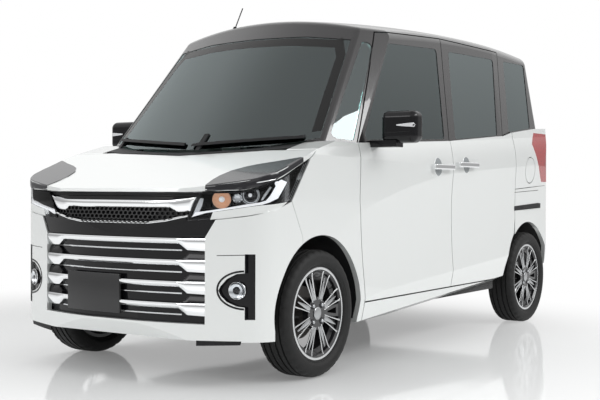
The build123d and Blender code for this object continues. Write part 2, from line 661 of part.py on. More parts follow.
# ---- Wheels: tyre, rim with its spokes, brake disc or drum ----
def tyre_at(x, y):
    """A tyre about the wheel centre, turned about its axle."""
    half = TYRE_WIDTH / 2
    seat = RIM_WIDTH / 2 - 5.4
    with BuildPart() as tyre:
        with BuildSketch(Plane((x, y, TYRE_RADIUS), x_dir=(1, 0, 0), z_dir=(0, -1, 0))):
            with BuildLine():
                Polyline((-seat, RIM_RADIUS - 13.7), (-seat, RIM_RADIUS + 4),
                         (-half + 2, RIM_RADIUS + 22))
                ThreePointArc((-half + 2, RIM_RADIUS + 22), (-half, TYRE_RADIUS - 36),
                              (-half + 5, TYRE_RADIUS - 17))
                Polyline((-half + 5, TYRE_RADIUS - 17), (-half + 15, TYRE_RADIUS - 4),
                         (-half + 30, TYRE_RADIUS), (half - 30, TYRE_RADIUS),
                         (half - 15, TYRE_RADIUS - 4), (half - 5, TYRE_RADIUS - 17))
                ThreePointArc((half - 5, TYRE_RADIUS - 17), (half, TYRE_RADIUS - 36),
                              (half - 2, RIM_RADIUS + 22))
                Polyline((half - 2, RIM_RADIUS + 22), (seat, RIM_RADIUS + 4),
                         (seat, RIM_RADIUS - 13.7), (seat - 12, RIM_RADIUS - 12),
                         (half - 16, RIM_RADIUS + 30), (half - 24, TYRE_RADIUS - 18),
                         (-half + 24, TYRE_RADIUS - 18), (-half + 16, RIM_RADIUS + 30),
                         (-seat + 12, RIM_RADIUS - 12), (-seat, RIM_RADIUS - 13.7))
            make_face()
        revolve(axis=Axis((x, y, TYRE_RADIUS), (1, 0, 0)))
    return tyre.part


def rim_at(x, y, out):
    """A rim whose spoked face looks along X towards out (+1 or -1)."""
    half = RIM_WIDTH / 2
    bead = RIM_RADIUS - 14
    well = RIM_RADIUS - 36
    with BuildPart() as rim:
        with BuildSketch(Plane((x, y, TYRE_RADIUS), x_dir=(1, 0, 0), z_dir=(0, -1, 0))):
            with BuildLine():
                Polyline((-half, RIM_RADIUS), (-half + 5, RIM_RADIUS), (-half + 5, bead),
                         (-half + 26, bead - 1), (-half + 34, well), (half - 44, well),
                         (half - 34, bead - 1), (half - 5, bead), (half - 5, RIM_RADIUS),
                         (half, RIM_RADIUS), (half, bead - 2), (half - 8, bead - RIM_WALL),
                         (half - 32, bead - RIM_WALL - 1), (half - 42, well - RIM_WALL),
                         (-half + 32, well - RIM_WALL), (-half + 24, bead - RIM_WALL - 1),
                         (-half + 8, bead - RIM_WALL), (-half, bead - 2), close=True)
            make_face()
        revolve(axis=Axis((x, y, TYRE_RADIUS), (1, 0, 0)))
        face_in = x + out * (half - FACE_DEPTH)
        with BuildSketch(Plane((face_in, y, TYRE_RADIUS), x_dir=(0, 1, 0), z_dir=(out, 0, 0))):
            Circle(HUB_RADIUS)
            with PolarLocations(0, SPOKES, start_angle=22.5):
                with BuildLine():
                    Polyline((HUB_RADIUS - 8, -15), (well + 12, -30), (well + 12, 30),
                             (HUB_RADIUS - 8, 15), close=True)
                make_face()
                with BuildLine():
                    Polyline((HUB_RADIUS + 14, -3), (well - 12, -15), (well - 12, 15),
                             (HUB_RADIUS + 14, 3), close=True)
                make_face(mode=Mode.SUBTRACT)
            Circle(HUB_BORE, mode=Mode.SUBTRACT)
            with PolarLocations(LUG_CIRCLE / 2, LUG_COUNT, start_angle=45):
                Circle(LUG_HOLE, mode=Mode.SUBTRACT)
        extrude(amount=FACE_THICKNESS)
    return rim.part


def hub_at(x, y, out, radius, thickness):
    """A brake disc or drum and its hub, from inside the wheel to the rim's hub face."""
    face = RIM_WIDTH / 2 - FACE_DEPTH
    with BuildPart() as hub:
        with BuildSketch(Plane((x + out * face, y, TYRE_RADIUS), x_dir=(0, 1, 0),
                               z_dir=(-out, 0, 0))):
            Circle(HUB_RADIUS - 4)
            Circle(STUB_RADIUS + RUNNING_FIT, mode=Mode.SUBTRACT)
            with PolarLocations(LUG_CIRCLE / 2, LUG_COUNT, start_angle=45):
                Circle(LUG_HOLE, mode=Mode.SUBTRACT)
        extrude(amount=60)
        with BuildSketch(Plane((x + out * (face - 60), y, TYRE_RADIUS), x_dir=(0, 1, 0),
                               z_dir=(-out, 0, 0))):
            Circle(radius)
            Circle(STUB_RADIUS + RUNNING_FIT, mode=Mode.SUBTRACT)
            with PolarLocations(LUG_CIRCLE / 2, LUG_COUNT, start_angle=45):
                Circle(LUG_HOLE, mode=Mode.SUBTRACT)
        extrude(amount=thickness)
    return hub.part


WHEELS = [("front_left", WHEEL_X, FRONT_AXLE, 1), ("front_right", -WHEEL_X, FRONT_AXLE, -1),
          ("rear_left", REAR_WHEEL_X, REAR_AXLE, 1), ("rear_right", -REAR_WHEEL_X, REAR_AXLE, -1)]
for name, x, y, out in WHEELS:
    save(tyre_at(x, y), "tyre_" + name)
    rim_right = rim_at(-abs(x), y, -1)
    save(rim_right if out < 0 else rim_right.mirror(Plane.YZ), "rim_" + name)
    if y == FRONT_AXLE:
        save(hub_at(x, y, out, DISC_RADIUS, DISC_THICKNESS), "brake_disc_" + name)
    else:
        save(hub_at(x, y, out, DRUM_RADIUS, 26), "brake_drum_" + name)

# ---- Knuckles on the leaning kingpin line, each with its strut tube and calliper ----
disc_in = WHEEL_X + RIM_WIDTH / 2 - FACE_DEPTH - 60 - DISC_THICKNESS
with BuildPart() as knuckle:
    with BuildSketch(kingpin):
        Circle(STRUT_RADIUS)
    extrude(amount=430)
    add(drum(disc_in - 42, disc_in - 6, FRONT_AXLE, TYRE_RADIUS, 46))
    add(drum(disc_in - 10, WHEEL_X + RIM_WIDTH / 2 - 60, FRONT_AXLE, TYRE_RADIUS, STUB_RADIUS))
    add(box(disc_in - 40, disc_in - 8, FRONT_AXLE - 25, FRONT_AXLE + 25, KINGPIN_Z - 7,
            TYRE_RADIUS + 110))
    add(box(disc_in - 30, disc_in - 8, FRONT_AXLE + 20, FRONT_AXLE + 118, TYRE_RADIUS - 30,
            TYRE_RADIUS + 50))
    add(box(disc_in - 30, disc_in + DISC_THICKNESS + 22, FRONT_AXLE + 84, FRONT_AXLE + 140,
            TYRE_RADIUS - 52, TYRE_RADIUS + 58))
    add(drum(disc_in - 6, disc_in + DISC_THICKNESS + 6, FRONT_AXLE, TYRE_RADIUS,
             DISC_RADIUS + 5), mode=Mode.SUBTRACT)
    add(drum(disc_in - 7, WHEEL_X + RIM_WIDTH / 2 - 60, FRONT_AXLE, TYRE_RADIUS, STUB_RADIUS))
    with BuildSketch(kingpin.offset(420)):
        Circle(PISTON_RADIUS)
    extrude(amount=90)
    with BuildSketch(kingpin.offset(-60)):
        Circle(BALL_PIN + RUNNING_FIT)
    extrude(amount=90, mode=Mode.SUBTRACT)
save(knuckle.part, "knuckle_left")
save(knuckle.part.mirror(Plane.YZ), "knuckle_right")

# ---- Front suspension: crossmember, lower arms, springs; rear beam axle ----
with BuildPart() as arm:
    with BuildSketch(Plane.XY.offset(KINGPIN_Z - 40)):
        with BuildLine():
            Polyline((RAIL_IN, A - 120), (430, A - 60), (KINGPIN_X - 14, A - 22),
                     (KINGPIN_X + 8, A), (KINGPIN_X - 14, A + 22), (430, A + 60),
                     (RAIL_IN, A + 120), close=True)
        make_face()
    extrude(amount=24)
    with BuildSketch(kingpin.offset(-20)):
        Circle(BALL_PIN)
    extrude(amount=48)
with BuildPart() as spring:
    with BuildSketch(kingpin.offset(440)):
        Circle(SPRING_RADIUS)
        Circle(PISTON_RADIUS + RUNNING_FIT, mode=Mode.SUBTRACT)
    extrude(amount=150)
with BuildPart() as front_suspension:
    add(box(-RAIL_OUT, RAIL_OUT, A - 130, A + 100, KINGPIN_Z - 20, KINGPIN_Z + 40))
    add(box(RAIL_IN, RAIL_OUT, A - 60, A + 60, KINGPIN_Z, RAIL_BOTTOM))
    add(box(-RAIL_OUT, -RAIL_IN, A - 60, A + 60, KINGPIN_Z, RAIL_BOTTOM))
    add(both_sides(arm.part))
    add(both_sides(spring.part))
save(front_suspension.part, "front_suspension")
save(box(-300, 300, A - 330, A + 60, KINGPIN_Z + 40, 780), "engine")
drum_in = REAR_WHEEL_X + RIM_WIDTH / 2 - FACE_DEPTH - 60 - 26
with BuildPart() as rear_half:
    add(drum(0, drum_in - 8, REAR_AXLE, TYRE_RADIUS, BEAM_RADIUS))
    add(drum(drum_in - 14, drum_in - 8, REAR_AXLE, TYRE_RADIUS, DRUM_RADIUS - 4))
    add(drum(drum_in - 14, REAR_WHEEL_X + RIM_WIDTH / 2 - 60, REAR_AXLE, TYRE_RADIUS, STUB_RADIUS))
    add(box(440, 490, A + 2040, REAR_AXLE, TYRE_RADIUS - 40, FLOOR_TOP - FLOOR_THICKNESS))
    with BuildSketch(Plane.XY.offset(TYRE_RADIUS)):
        with Locations((430, REAR_AXLE)):
            Circle(SPRING_RADIUS)
    extrude(amount=BOOT_FLOOR - 40 - TYRE_RADIUS)
save(both_sides(rear_half.part), "rear_axle")

# ---- Cabin: dashboard, steering wheel, seats ----
DASH = [(142, 560), (142, 985), (300, 1010), (440, 985), (520, 930), (540, 820), (470, 700),
        (300, 620)]
dashboard = cut_from(side_prism(ahead(DASH), -CABIN_HALF + 12, CABIN_HALF - 12),
                     box(-FAR, FAR, -3000, 3000, 0, 2000), (liner_cuts[0],))
wheel_plane = Plane((STEER_X, A + 640, 985), x_dir=(1, 0, 0),
                    z_dir=(0, cos(radians(WHEEL_TILT)), sin(radians(WHEEL_TILT))))
with BuildPart() as steering_wheel:
    with BuildSketch(Plane(wheel_plane.origin, x_dir=(1, 0, 0), z_dir=wheel_plane.y_dir)):
        with Locations((STEER_RADIUS, 0)):
            Circle(14)
    revolve(axis=Axis(wheel_plane.origin, wheel_plane.z_dir))
    with BuildSketch(wheel_plane.offset(-40)):
        Circle(52)
    extrude(amount=40)
    with BuildSketch(wheel_plane.offset(-14)):
        Rectangle(2 * STEER_RADIUS, 34)
        with Locations((0, -STEER_RADIUS / 2)):
            Rectangle(30, STEER_RADIUS)
    extrude(amount=12)
    with BuildSketch(wheel_plane.offset(-250)):
        Circle(COLUMN_RADIUS)
    extrude(amount=215)
save(steering_wheel.part, "steering_wheel")
with BuildPart() as dash:
    add(dashboard)
    with BuildSketch(wheel_plane.offset(-256)):
        Circle(COLUMN_RADIUS + RUNNING_FIT)
    extrude(amount=240, mode=Mode.SUBTRACT)
save(dash.part, "dashboard")


def soft_block(x, width, outline, radius):
    """A cushion across the car about x, from a side outline measured from the axle."""
    with BuildPart() as soft:
        add(side_prism(ahead(outline), x - width / 2, x + width / 2))
        fillet(soft.edges(), radius)
    return soft.part


with BuildPart() as front_seats:
    for x in (-SEAT_X, SEAT_X):
        add(soft_block(x, SEAT_WIDTH, [(770, SEAT_BASE + SEAL_GAP), (770, SEAT_BASE + CUSHION),
                                       (1225, SEAT_BASE + CUSHION - 25),
                                       (1225, SEAT_BASE + SEAL_GAP)], 30))
        add(soft_block(x, SEAT_WIDTH - 20, [(1226, SEAT_BASE + 40),
                                            (1226 + BACK_THICKNESS, SEAT_BASE + 40),
                                            (1470, 1240), (1385, 1250)], 30))
        add(soft_block(x, 260, [(1392, 1262), (1472, 1252), (1500, 1420), (1420, 1430)], 30))
save(front_seats.part, "front_seats")
with BuildPart() as rear_seat:
    for x in (-255, 255):
        add(soft_block(x, 500, [(1890, BOOT_FLOOR + SEAL_GAP), (1890, BOOT_FLOOR + 120),
                                (2300, BOOT_FLOOR + 100), (2300, BOOT_FLOOR + SEAL_GAP)], 30))
        add(soft_block(x, 490, [(2301, BOOT_FLOOR + SEAL_GAP), (2400, BOOT_FLOOR + SEAL_GAP),
                                (2490, 1180), (2400, 1190)], 30))
        add(soft_block(x, 230, [(2410, 1202), (2484, 1192), (2500, 1330), (2436, 1338)], 28))
save(rear_seat.part, "rear_seat")

# ---- Mirrors, handles, antenna and wipers ----
with BuildPart() as mirror_left:
    with Locations((866, A + 488, 1122)):
        Box(188, 96, 152)
    fillet(mirror_left.edges(), 34)
    add(box(700, 860, A + 440, A + 510, 1028, 1060))
    add(skin_form.part, mode=Mode.SUBTRACT)
save(mirror_left.part, "door_mirror_left")
save(mirror_left.part.mirror(Plane.YZ), "door_mirror_right")


def handle_at(y0, y1, z):
    """A grip handle standing off the left side between y0 and y1."""
    with BuildPart() as handle:
        with Locations((SIDE + 24, A + (y0 + y1) / 2, z)):
            Box(18, y1 - y0, 28)
        fillet(handle.edges(), 7)
        for y in (y0 + 16, y1 - 16):
            add(box(SIDE - 40, SIDE + 24, A + y - 12, A + y + 12, z - 11, z + 11))
        add(skin_form.part, mode=Mode.SUBTRACT)
    return handle.part


front_handle = handle_at(1051, 1274, 948)
save(front_handle, "door_handle_left")
save(front_handle.mirror(Plane.YZ), "door_handle_right")
save(both_sides(handle_at(1349, 1585, 965)), "sliding_door_handles")

wiper_shell = cut_from(upper_form(-16), box(-FAR, FAR, -3000, A + 700, 1000, 1300),
                       (upper_form(-5),))
BLADES = [[(-600, 1074), (-30, 1034), (-30, 1048), (-600, 1088)],
          [(20, 1030), (560, 1062), (560, 1076), (20, 1044)]]


def wiper_post(x):
    """The foot of a wiper, between the cowl and the blade."""
    with BuildPart() as foot:
        add(upper_form(-10))
        add(box(x - 12, x + 12, -3000, A + 300, 1010, 1090), mode=Mode.INTERSECT)
        add(skin_form.part, mode=Mode.SUBTRACT)
    return foot.part


with BuildPart() as wipers_and_antenna:
    for blade in BLADES:
        add(cut_from(wiper_shell, front_prism(blade, NOSE, A + 600)))
        add(wiper_post(blade[0][0] + 45))
    with BuildSketch(Plane((-224, A + 600, 1640), x_dir=(1, 0, 0), z_dir=(0, 0.5, 0.87))):
        Circle(11)
    extrude(amount=60)
    with BuildSketch(Plane((-224, A + 600, 1640), x_dir=(1, 0, 0), z_dir=(0, 0.5, 0.87))):
        Circle(3)
    extrude(amount=190)
    add(skin_form.part, mode=Mode.SUBTRACT)
save(wipers_and_antenna.part, "wipers_and_antenna")

# ---- Chrome: the grille's bars, band and lower line ----
BAR_PITCH = 91.0
BAR_FOOT = 324.0
BAR_HEIGHT = 25.0
BAND = [(-396, 734), (-331, 731), (-297, 747), (297, 747), (331, 731), (396, 734), (427, 794),
        (297, 781), (-297, 781), (-427, 794)]
LINE = [(-389, 712), (-285, 690), (-197, 680), (197, 680), (285, 690), (389, 712), (387, 721),
        (285, 700), (197, 690), (-197, 690), (-285, 700), (-387, 721)]
with BuildPart() as chrome:
    for step in range(4):
        z = BAR_FOOT + step * BAR_PITCH
        bar = [(-GRILLE_HALF + 1, z - 30), (-379, z - 26), (-341, z), (341, z), (379, z - 26),
               (GRILLE_HALF - 1, z - 30), (GRILLE_HALF - 1, z + BAR_HEIGHT + 2),
               (341, z + BAR_HEIGHT), (-341, z + BAR_HEIGHT), (-GRILLE_HALF + 1, z + BAR_HEIGHT + 2)]
        add(cut_from(lower_form(2), front_prism(bar, NOSE - 50, NOSE + 300), (lower_form(29.7),)))
    add(cut_from(lower_form(0), front_prism(BAND, NOSE - 50, NOSE + 300), (lower_form(21.7),)))
    add(cut_from(lower_form(0), front_prism(LINE, NOSE - 50, NOSE + 300), (lower_form(5.7),)))
    add(lamp_room, mode=Mode.SUBTRACT)
save(chrome.part, "grille_chrome")
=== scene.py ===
# %% [markdown]
# The CAD model of a tall five-door kei car is loaded as a fixed frame. Nothing in it is moved:
# this file gives each piece its finish and adds the fine pieces that a drawing of the car leaves
# to its looks, such as mesh, lamps' insides, tread, trim and upholstery.

# %% Load the frame
import bpy
import bmesh
import json
import math
from mathutils import Matrix, Vector


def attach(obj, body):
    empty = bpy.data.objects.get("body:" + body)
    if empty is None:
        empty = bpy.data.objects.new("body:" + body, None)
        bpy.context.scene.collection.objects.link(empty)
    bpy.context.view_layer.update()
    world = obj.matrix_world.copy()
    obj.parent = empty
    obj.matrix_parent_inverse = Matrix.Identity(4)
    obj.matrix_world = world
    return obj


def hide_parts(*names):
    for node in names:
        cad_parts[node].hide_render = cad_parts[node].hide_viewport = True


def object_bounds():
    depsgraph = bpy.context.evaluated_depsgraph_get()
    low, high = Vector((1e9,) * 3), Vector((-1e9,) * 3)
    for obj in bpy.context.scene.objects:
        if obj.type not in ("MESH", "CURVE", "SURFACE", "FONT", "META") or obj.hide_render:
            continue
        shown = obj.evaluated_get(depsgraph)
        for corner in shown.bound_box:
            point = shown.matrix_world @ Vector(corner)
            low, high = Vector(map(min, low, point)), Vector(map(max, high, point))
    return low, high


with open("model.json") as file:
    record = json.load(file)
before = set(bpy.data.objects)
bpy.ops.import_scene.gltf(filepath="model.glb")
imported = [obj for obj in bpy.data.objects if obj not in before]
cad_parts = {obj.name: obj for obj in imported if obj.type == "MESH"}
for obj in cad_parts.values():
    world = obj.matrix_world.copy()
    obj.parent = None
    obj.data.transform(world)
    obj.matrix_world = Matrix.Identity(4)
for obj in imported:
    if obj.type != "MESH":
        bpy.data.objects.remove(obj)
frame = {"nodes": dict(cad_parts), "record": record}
cad_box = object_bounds()
nodes = frame["nodes"]

# %% [markdown]
# The viewer stands ahead of the car's left front corner, about as high as the belt line, with a
# short telephoto lens. The camera's axes are written out from its yaw, pitch and roll, which is
# clearer than rotating a default camera three times.

# %% Camera
camera_place = (3.264, -5.1205, 0.833)
yaw, pitch, roll = math.radians(33.65), math.radians(0.63), math.radians(0.21)
sensor_width = 36
picture_width = 600
focal_pixels = 1072.9  # the focal length, in pixels of a picture that wide
forward = Vector((-math.sin(yaw) * math.cos(pitch), math.cos(yaw) * math.cos(pitch),
                  -math.sin(pitch)))
level = Vector((math.cos(yaw), math.sin(yaw), 0))
upward = level.cross(forward)
right = level * math.cos(roll) + upward * math.sin(roll)
top = upward * math.cos(roll) - level * math.sin(roll)
camera = bpy.data.objects.new("camera", bpy.data.cameras.new("camera"))
camera.matrix_world = Matrix.Translation(camera_place) @ Matrix(
    (right, top, -forward)).transposed().to_4x4()
camera.data.sensor_width = sensor_width
camera.data.lens = sensor_width * focal_pixels / picture_width
bpy.context.collection.objects.link(camera)
bpy.context.scene.camera = camera
print("camera lens", round(camera.data.lens, 1), "mm")

# %% [markdown]
# Floor, world and finishes are trees of shader nodes. They could be wired by hand in the shader
# editor. Here a few helpers keep them short: a node with its values, an empty material, a smooth
# rise from 0 to 1, and two values put together.

# %% Helpers for shader nodes
scene = bpy.context.scene
scene.view_settings.view_transform = "Standard"


def shader_node(tree, kind, setting=None, **sockets):
    """A node of a kind, with one setting as (name, value) and the values of its sockets."""
    made = tree.nodes.new("ShaderNode" + kind)
    if setting:
        setattr(made, *setting)
    for name, value in sockets.items():
        made.inputs[name.replace("_", " ")].default_value = value
    return made


def node_material(name):
    """A new material with an empty node tree and its output node."""
    material = bpy.data.materials.new(name)
    material.use_nodes = True
    material.node_tree.nodes.clear()
    return material, material.node_tree, shader_node(material.node_tree, "OutputMaterial")


def smooth_step(tree, value, low, high):
    """A node that rises smoothly from 0 to 1 as value goes from low to high."""
    step = shader_node(tree, "MapRange", ("interpolation_type", "SMOOTHSTEP"),
                       From_Min=low, From_Max=high)
    tree.links.new(value, step.inputs["Value"])
    return step.outputs["Result"]


def either(tree, first, second, operation="MAXIMUM"):
    """A node that puts two values together: the larger, or their product or sum."""
    made = shader_node(tree, "Math", ("operation", operation))
    for socket, value in zip(made.inputs, (first, second)):
        if isinstance(value, float):
            socket.default_value = value
        else:
            tree.links.new(value, socket)
    return made.outputs[0]


print("shader helpers ready, view transform", scene.view_settings.view_transform)

# %% [markdown]
# A studio has a white glossy floor that runs up into a white wall. The floor is one large plane
# that mirrors the car and takes its shadow. Away from the car it turns to plain white, but only
# for the camera and partly for reflections, so no edge shows and no extra light falls on the car.
# A curved wall behind the car is the other way; it would need its own lamps to stay white.

# %% Floor
floor_reach = 60
floor_colour = (0.72, 0.73, 0.73, 1)
floor_lift = 0.16  # a little light of its own, only where it is seen
white_about = (-0.5, -0.8, 0)
white_from, white_to = 1.5, 3.6  # distances from there between which it turns white
white_in_reflections = 0.35


def make_floor():
    """A white floor that mirrors the car and takes its shadow, and is plain white far away."""
    mesh = bpy.data.meshes.new("studio_floor")
    mesh.from_pydata([(-floor_reach, -floor_reach, 0), (floor_reach, -floor_reach, 0),
                      (floor_reach, floor_reach, 0), (-floor_reach, floor_reach, 0)],
                     [], [(0, 1, 2, 3)])
    floor = bpy.data.objects.new("studio_floor", mesh)
    bpy.context.collection.objects.link(floor)
    material, tree, output = node_material("studio_floor")
    join = tree.links.new
    surface = shader_node(tree, "BsdfPrincipled", Base_Color=floor_colour, Roughness=0.07,
                          Specular_IOR_Level=0.7)
    ray = shader_node(tree, "LightPath")
    seen = either(tree, ray.outputs["Is Camera Ray"], ray.outputs["Is Glossy Ray"])
    glow = shader_node(tree, "Emission")
    join(either(tree, seen, floor_lift, "MULTIPLY"), glow.inputs["Strength"])
    near_car = shader_node(tree, "AddShader")
    join(surface.outputs[0], near_car.inputs[0])
    join(glow.outputs[0], near_car.inputs[1])
    place = shader_node(tree, "TexCoord")
    distance = shader_node(tree, "VectorMath", ("operation", "DISTANCE"))
    distance.inputs[1].default_value = white_about
    join(place.outputs["Object"], distance.inputs[0])
    far = smooth_step(tree, distance.outputs["Value"], white_from, white_to)
    faint = either(tree, ray.outputs["Is Glossy Ray"], white_in_reflections, "MULTIPLY")
    lit = either(tree, ray.outputs["Is Camera Ray"], faint)
    white = shader_node(tree, "Emission")
    mix = shader_node(tree, "MixShader")
    join(either(tree, far, lit, "MULTIPLY"), mix.inputs["Fac"])
    join(near_car.outputs[0], mix.inputs[1])
    join(white.outputs[0], mix.inputs[2])
    join(mix.outputs[0], output.inputs["Surface"])
    mesh.materials.append(material)


make_floor()
print("floor: white beyond", white_to, "m")

# %% [markdown]
# What the eye sees of the world is plain white, also through glass. The light that it throws on
# the car is another matter: white paint shows its form only if some of its surroundings are
# darker. So the world is dim at the horizon, bright above it and softer again overhead. A picture
# of a studio could light the car as well, but a few nodes need no file.

# %% World
horizon_light, sky_light = 0.42, 0.95
overhead_loss = 0.65  # the share of the rise from horizon to sky that is taken back overhead


def make_world():
    """White to the eye; as light, dim at the horizon, bright above it, softer overhead."""
    world = bpy.data.worlds.new("studio")
    scene.world = world
    world.use_nodes = True
    tree = world.node_tree
    tree.nodes.clear()
    join = tree.links.new
    ray = shader_node(tree, "LightPath")
    seen = either(tree, ray.outputs["Is Camera Ray"], ray.outputs["Is Transmission Ray"])
    way = shader_node(tree, "TexCoord")
    split = shader_node(tree, "SeparateXYZ")
    join(way.outputs["Generated"], split.inputs[0])
    climb = smooth_step(tree, split.outputs["Z"], 0.08, 0.42)
    zenith = smooth_step(tree, split.outputs["Z"], 0.72, 0.95)
    loss = either(tree, either(tree, zenith, overhead_loss, "MULTIPLY"), -1.0, "MULTIPLY")
    light = shader_node(tree, "MapRange", To_Min=horizon_light, To_Max=sky_light)
    join(either(tree, climb, loss, "ADD"), light.inputs["Value"])
    ground = shader_node(tree, "Background", Color=(1, 1, 1, 1))
    join(either(tree, light.outputs["Result"], seen), ground.inputs["Strength"])
    output = shader_node(tree, "OutputWorld")
    join(ground.outputs[0], output.inputs["Surface"])


make_world()
print("world:", scene.world.name)

# %% [markdown]
# Three large soft lamps shape the car as softboxes do: a wide one overhead, one along its left
# side and one ahead of it. The one overhead is kept out of reflections, because it would lie on
# the windscreen as a white sheet. Small lamps would give hard shadows and hot spots.

# %% Lamps
def add_lamp(name, place, aim, size, power):
    """A large soft rectangular lamp that points at aim and isn't seen itself."""
    data = bpy.data.lights.new(name, "AREA")
    data.shape = "RECTANGLE"
    data.size, data.size_y = size
    data.energy = power
    lamp = bpy.data.objects.new(name, data)
    lamp.location = place
    lamp.rotation_euler = (Vector(aim) - Vector(place)).to_track_quat("-Z", "Y").to_euler()
    bpy.context.collection.objects.link(lamp)
    lamp.visible_camera = False
    return lamp


ceiling = add_lamp("ceiling", (-1.6, -0.6, 5.2), (0, 0, 0.5), (4.0, 7.0), 105)
ceiling.visible_glossy = False
add_lamp("left_bank", (6.5, 0.8, 5.2), (0.5, 0, 0.8), (6.0, 2.2), 260)
add_lamp("front_bank", (-2.0, -7.0, 3.6), (0, -1, 0.8), (5.0, 1.6), 80)
print("lamps: ceiling, left bank, front bank")

# %% [markdown]
# Nearly every finish on a car is one of a few kinds: paint under clear lacquer, moulded plastic
# with a fine grain, bright metal, rubber or cloth. One helper builds them: a Principled surface
# whose colour and roughness drift a little over the panel, with a fine bump for grain. The numbers
# that are the same all over are set straight on the shader.

# %% Finishes: one helper for paint, plastic, metal and rubber
def finish(name, colour, roughness, metallic=0.0, coat=0.0, grain=400.0, depth=0.0, drift=0.03,
           spread=0.05, specular=0.5, sheen=0.0, glow=0.0):
    """A surface whose colour drifts by drift, roughness by spread, with grain of that depth."""
    material, tree, output = node_material(name)
    join = tree.links.new
    surface = shader_node(
        tree, "BsdfPrincipled", Roughness=roughness, Metallic=metallic, Coat_Weight=coat,
        Coat_Roughness=0.03, Specular_IOR_Level=specular, Sheen_Weight=sheen,
        Emission_Color=(1, 1, 1, 1), Emission_Strength=glow)
    place = shader_node(tree, "TexCoord")
    cloud = shader_node(tree, "TexNoise", Scale=3.0, Detail=4)
    join(place.outputs["Object"], cloud.inputs["Vector"])
    tint = shader_node(tree, "Mix", ("data_type", "RGBA"),
                       A=tuple(c * (1 - drift) for c in colour) + (1,),
                       B=tuple(min(1, c * (1 + drift)) for c in colour) + (1,))
    join(cloud.outputs["Fac"], tint.inputs["Factor"])
    join(tint.outputs["Result"], surface.inputs["Base Color"])
    if spread:
        rough = shader_node(tree, "MapRange", To_Min=max(0, roughness - spread / 2),
                            To_Max=min(1, roughness + spread / 2))
        join(cloud.outputs["Fac"], rough.inputs["Value"])
        join(rough.outputs["Result"], surface.inputs["Roughness"])
    if depth:
        pits = shader_node(tree, "TexNoise", Scale=grain, Detail=2)
        join(place.outputs["Object"], pits.inputs["Vector"])
        bump = shader_node(tree, "Bump", Distance=depth, Strength=0.6)
        join(pits.outputs["Fac"], bump.inputs["Height"])
        join(bump.outputs["Normal"], surface.inputs["Normal"])
    join(surface.outputs[0], output.inputs["Surface"])
    return material


print("helper ready: finish")

# %% [markdown]
# The white is a pearl paint, so it has a little metal in it under a full lacquer. Black plastic
# comes in two kinds, dull with a grain and polished. What sits underneath is cast iron, black
# steel and raw alloy, and the cabin is dark grained plastic. The numbers are chosen one by one,
# since no two makers' blacks are alike.

# %% Paints, plastics, metals, rubber and carpet
pearl_white = finish("pearl_white_paint", (0.84, 0.86, 0.85), 0.30, metallic=0.38, coat=1.0,
                     grain=2500, depth=0.00002, drift=0.006, spread=0.0)
gloss_black_paint = finish("gloss_black_paint", (0.012, 0.011, 0.012), 0.22, coat=1.0,
                           grain=2500, depth=0.00002, spread=0.0)
moulded_black = finish("moulded_black_plastic", (0.012, 0.012, 0.013), 0.5, grain=900,
                       depth=0.0004, specular=0.25)
piano_black = finish("piano_black_plastic", (0.006, 0.006, 0.007), 0.15, coat=0.25, specular=0.2)
bright_chrome = finish("bright_chrome", (0.86, 0.87, 0.88), 0.07, metallic=1.0, spread=0.04)
tyre_rubber = finish("tyre_rubber", (0.011, 0.011, 0.011), 0.62, grain=700, depth=0.0006,
                     specular=0.35)
dark_wheel = finish("dark_wheel_paint", (0.016, 0.016, 0.018), 0.3, metallic=0.2, coat=0.7)
cast_iron = finish("cast_iron", (0.10, 0.095, 0.09), 0.6, metallic=0.7, grain=500, depth=0.0006)
black_steel = finish("black_steel", (0.02, 0.02, 0.02), 0.55, grain=300, depth=0.0006)
cast_alloy = finish("cast_alloy", (0.30, 0.30, 0.31), 0.5, metallic=0.8, grain=300, depth=0.0008)
cabin_plastic = finish("grained_cabin_plastic", (0.035, 0.034, 0.033), 0.6, grain=700,
                       depth=0.0006)
grip_leather = finish("grip_leather", (0.02, 0.02, 0.02), 0.45, grain=900, depth=0.0006)
floor_carpet = finish("floor_carpet", (0.03, 0.03, 0.03), 0.95, grain=900, depth=0.003, sheen=0.2)
tail_red = finish("tail_lamp_red", (0.35, 0.01, 0.012), 0.12, coat=1.0)
print("finishes:", len(bpy.data.materials), "materials so far")

# %% [markdown]
# A car's glass is thin and nearly flat, so it bends no light that the eye would miss. A tinted
# see-through layer under a reflection is therefore enough, and it renders without the noise of
# true refraction. The reflection grows at grazing angles, as it does on real glass.

# %% Glass: windscreen, rear panes and lamp lenses
def pane(name, tint, mirror, bend=1.5, shine=(0.88, 0.99, 1.0)):
    """Glass with a tint, a reflection that starts at mirror, and the colour of its shine."""
    material, tree, output = node_material(name)
    join = tree.links.new
    clear = shader_node(tree, "BsdfTransparent", Color=tint + (1,))
    gloss = shader_node(tree, "BsdfGlossy", Roughness=0.01, Color=shine + (1,))
    edge = shader_node(tree, "Fresnel", IOR=bend)
    share = shader_node(tree, "MapRange", To_Min=mirror, To_Max=1.0)
    mix = shader_node(tree, "MixShader")
    join(edge.outputs[0], share.inputs["Value"])
    join(share.outputs["Result"], mix.inputs["Fac"])
    join(clear.outputs[0], mix.inputs[1])
    join(gloss.outputs[0], mix.inputs[2])
    join(mix.outputs[0], output.inputs["Surface"])
    return material


screen_glass = pane("green_screen_glass", (0.72, 0.82, 0.79), 0.10)
privacy_glass = pane("privacy_glass", (0.32, 0.37, 0.38), 0.20)
lens_glass = pane("lamp_lens", (0.93, 0.94, 0.95), 0.0, bend=1.22, shine=(1, 1, 1))
print("glass:", screen_glass.name, privacy_glass.name, lens_glass.name)

# %% [markdown]
# Seat cloth is woven, and close by its crossing threads show as fine light and dark. Two wave
# textures across each other give the threads, for the colour and for a small bump. An image of
# cloth would do the same, but it would need a flat layout of each pad.

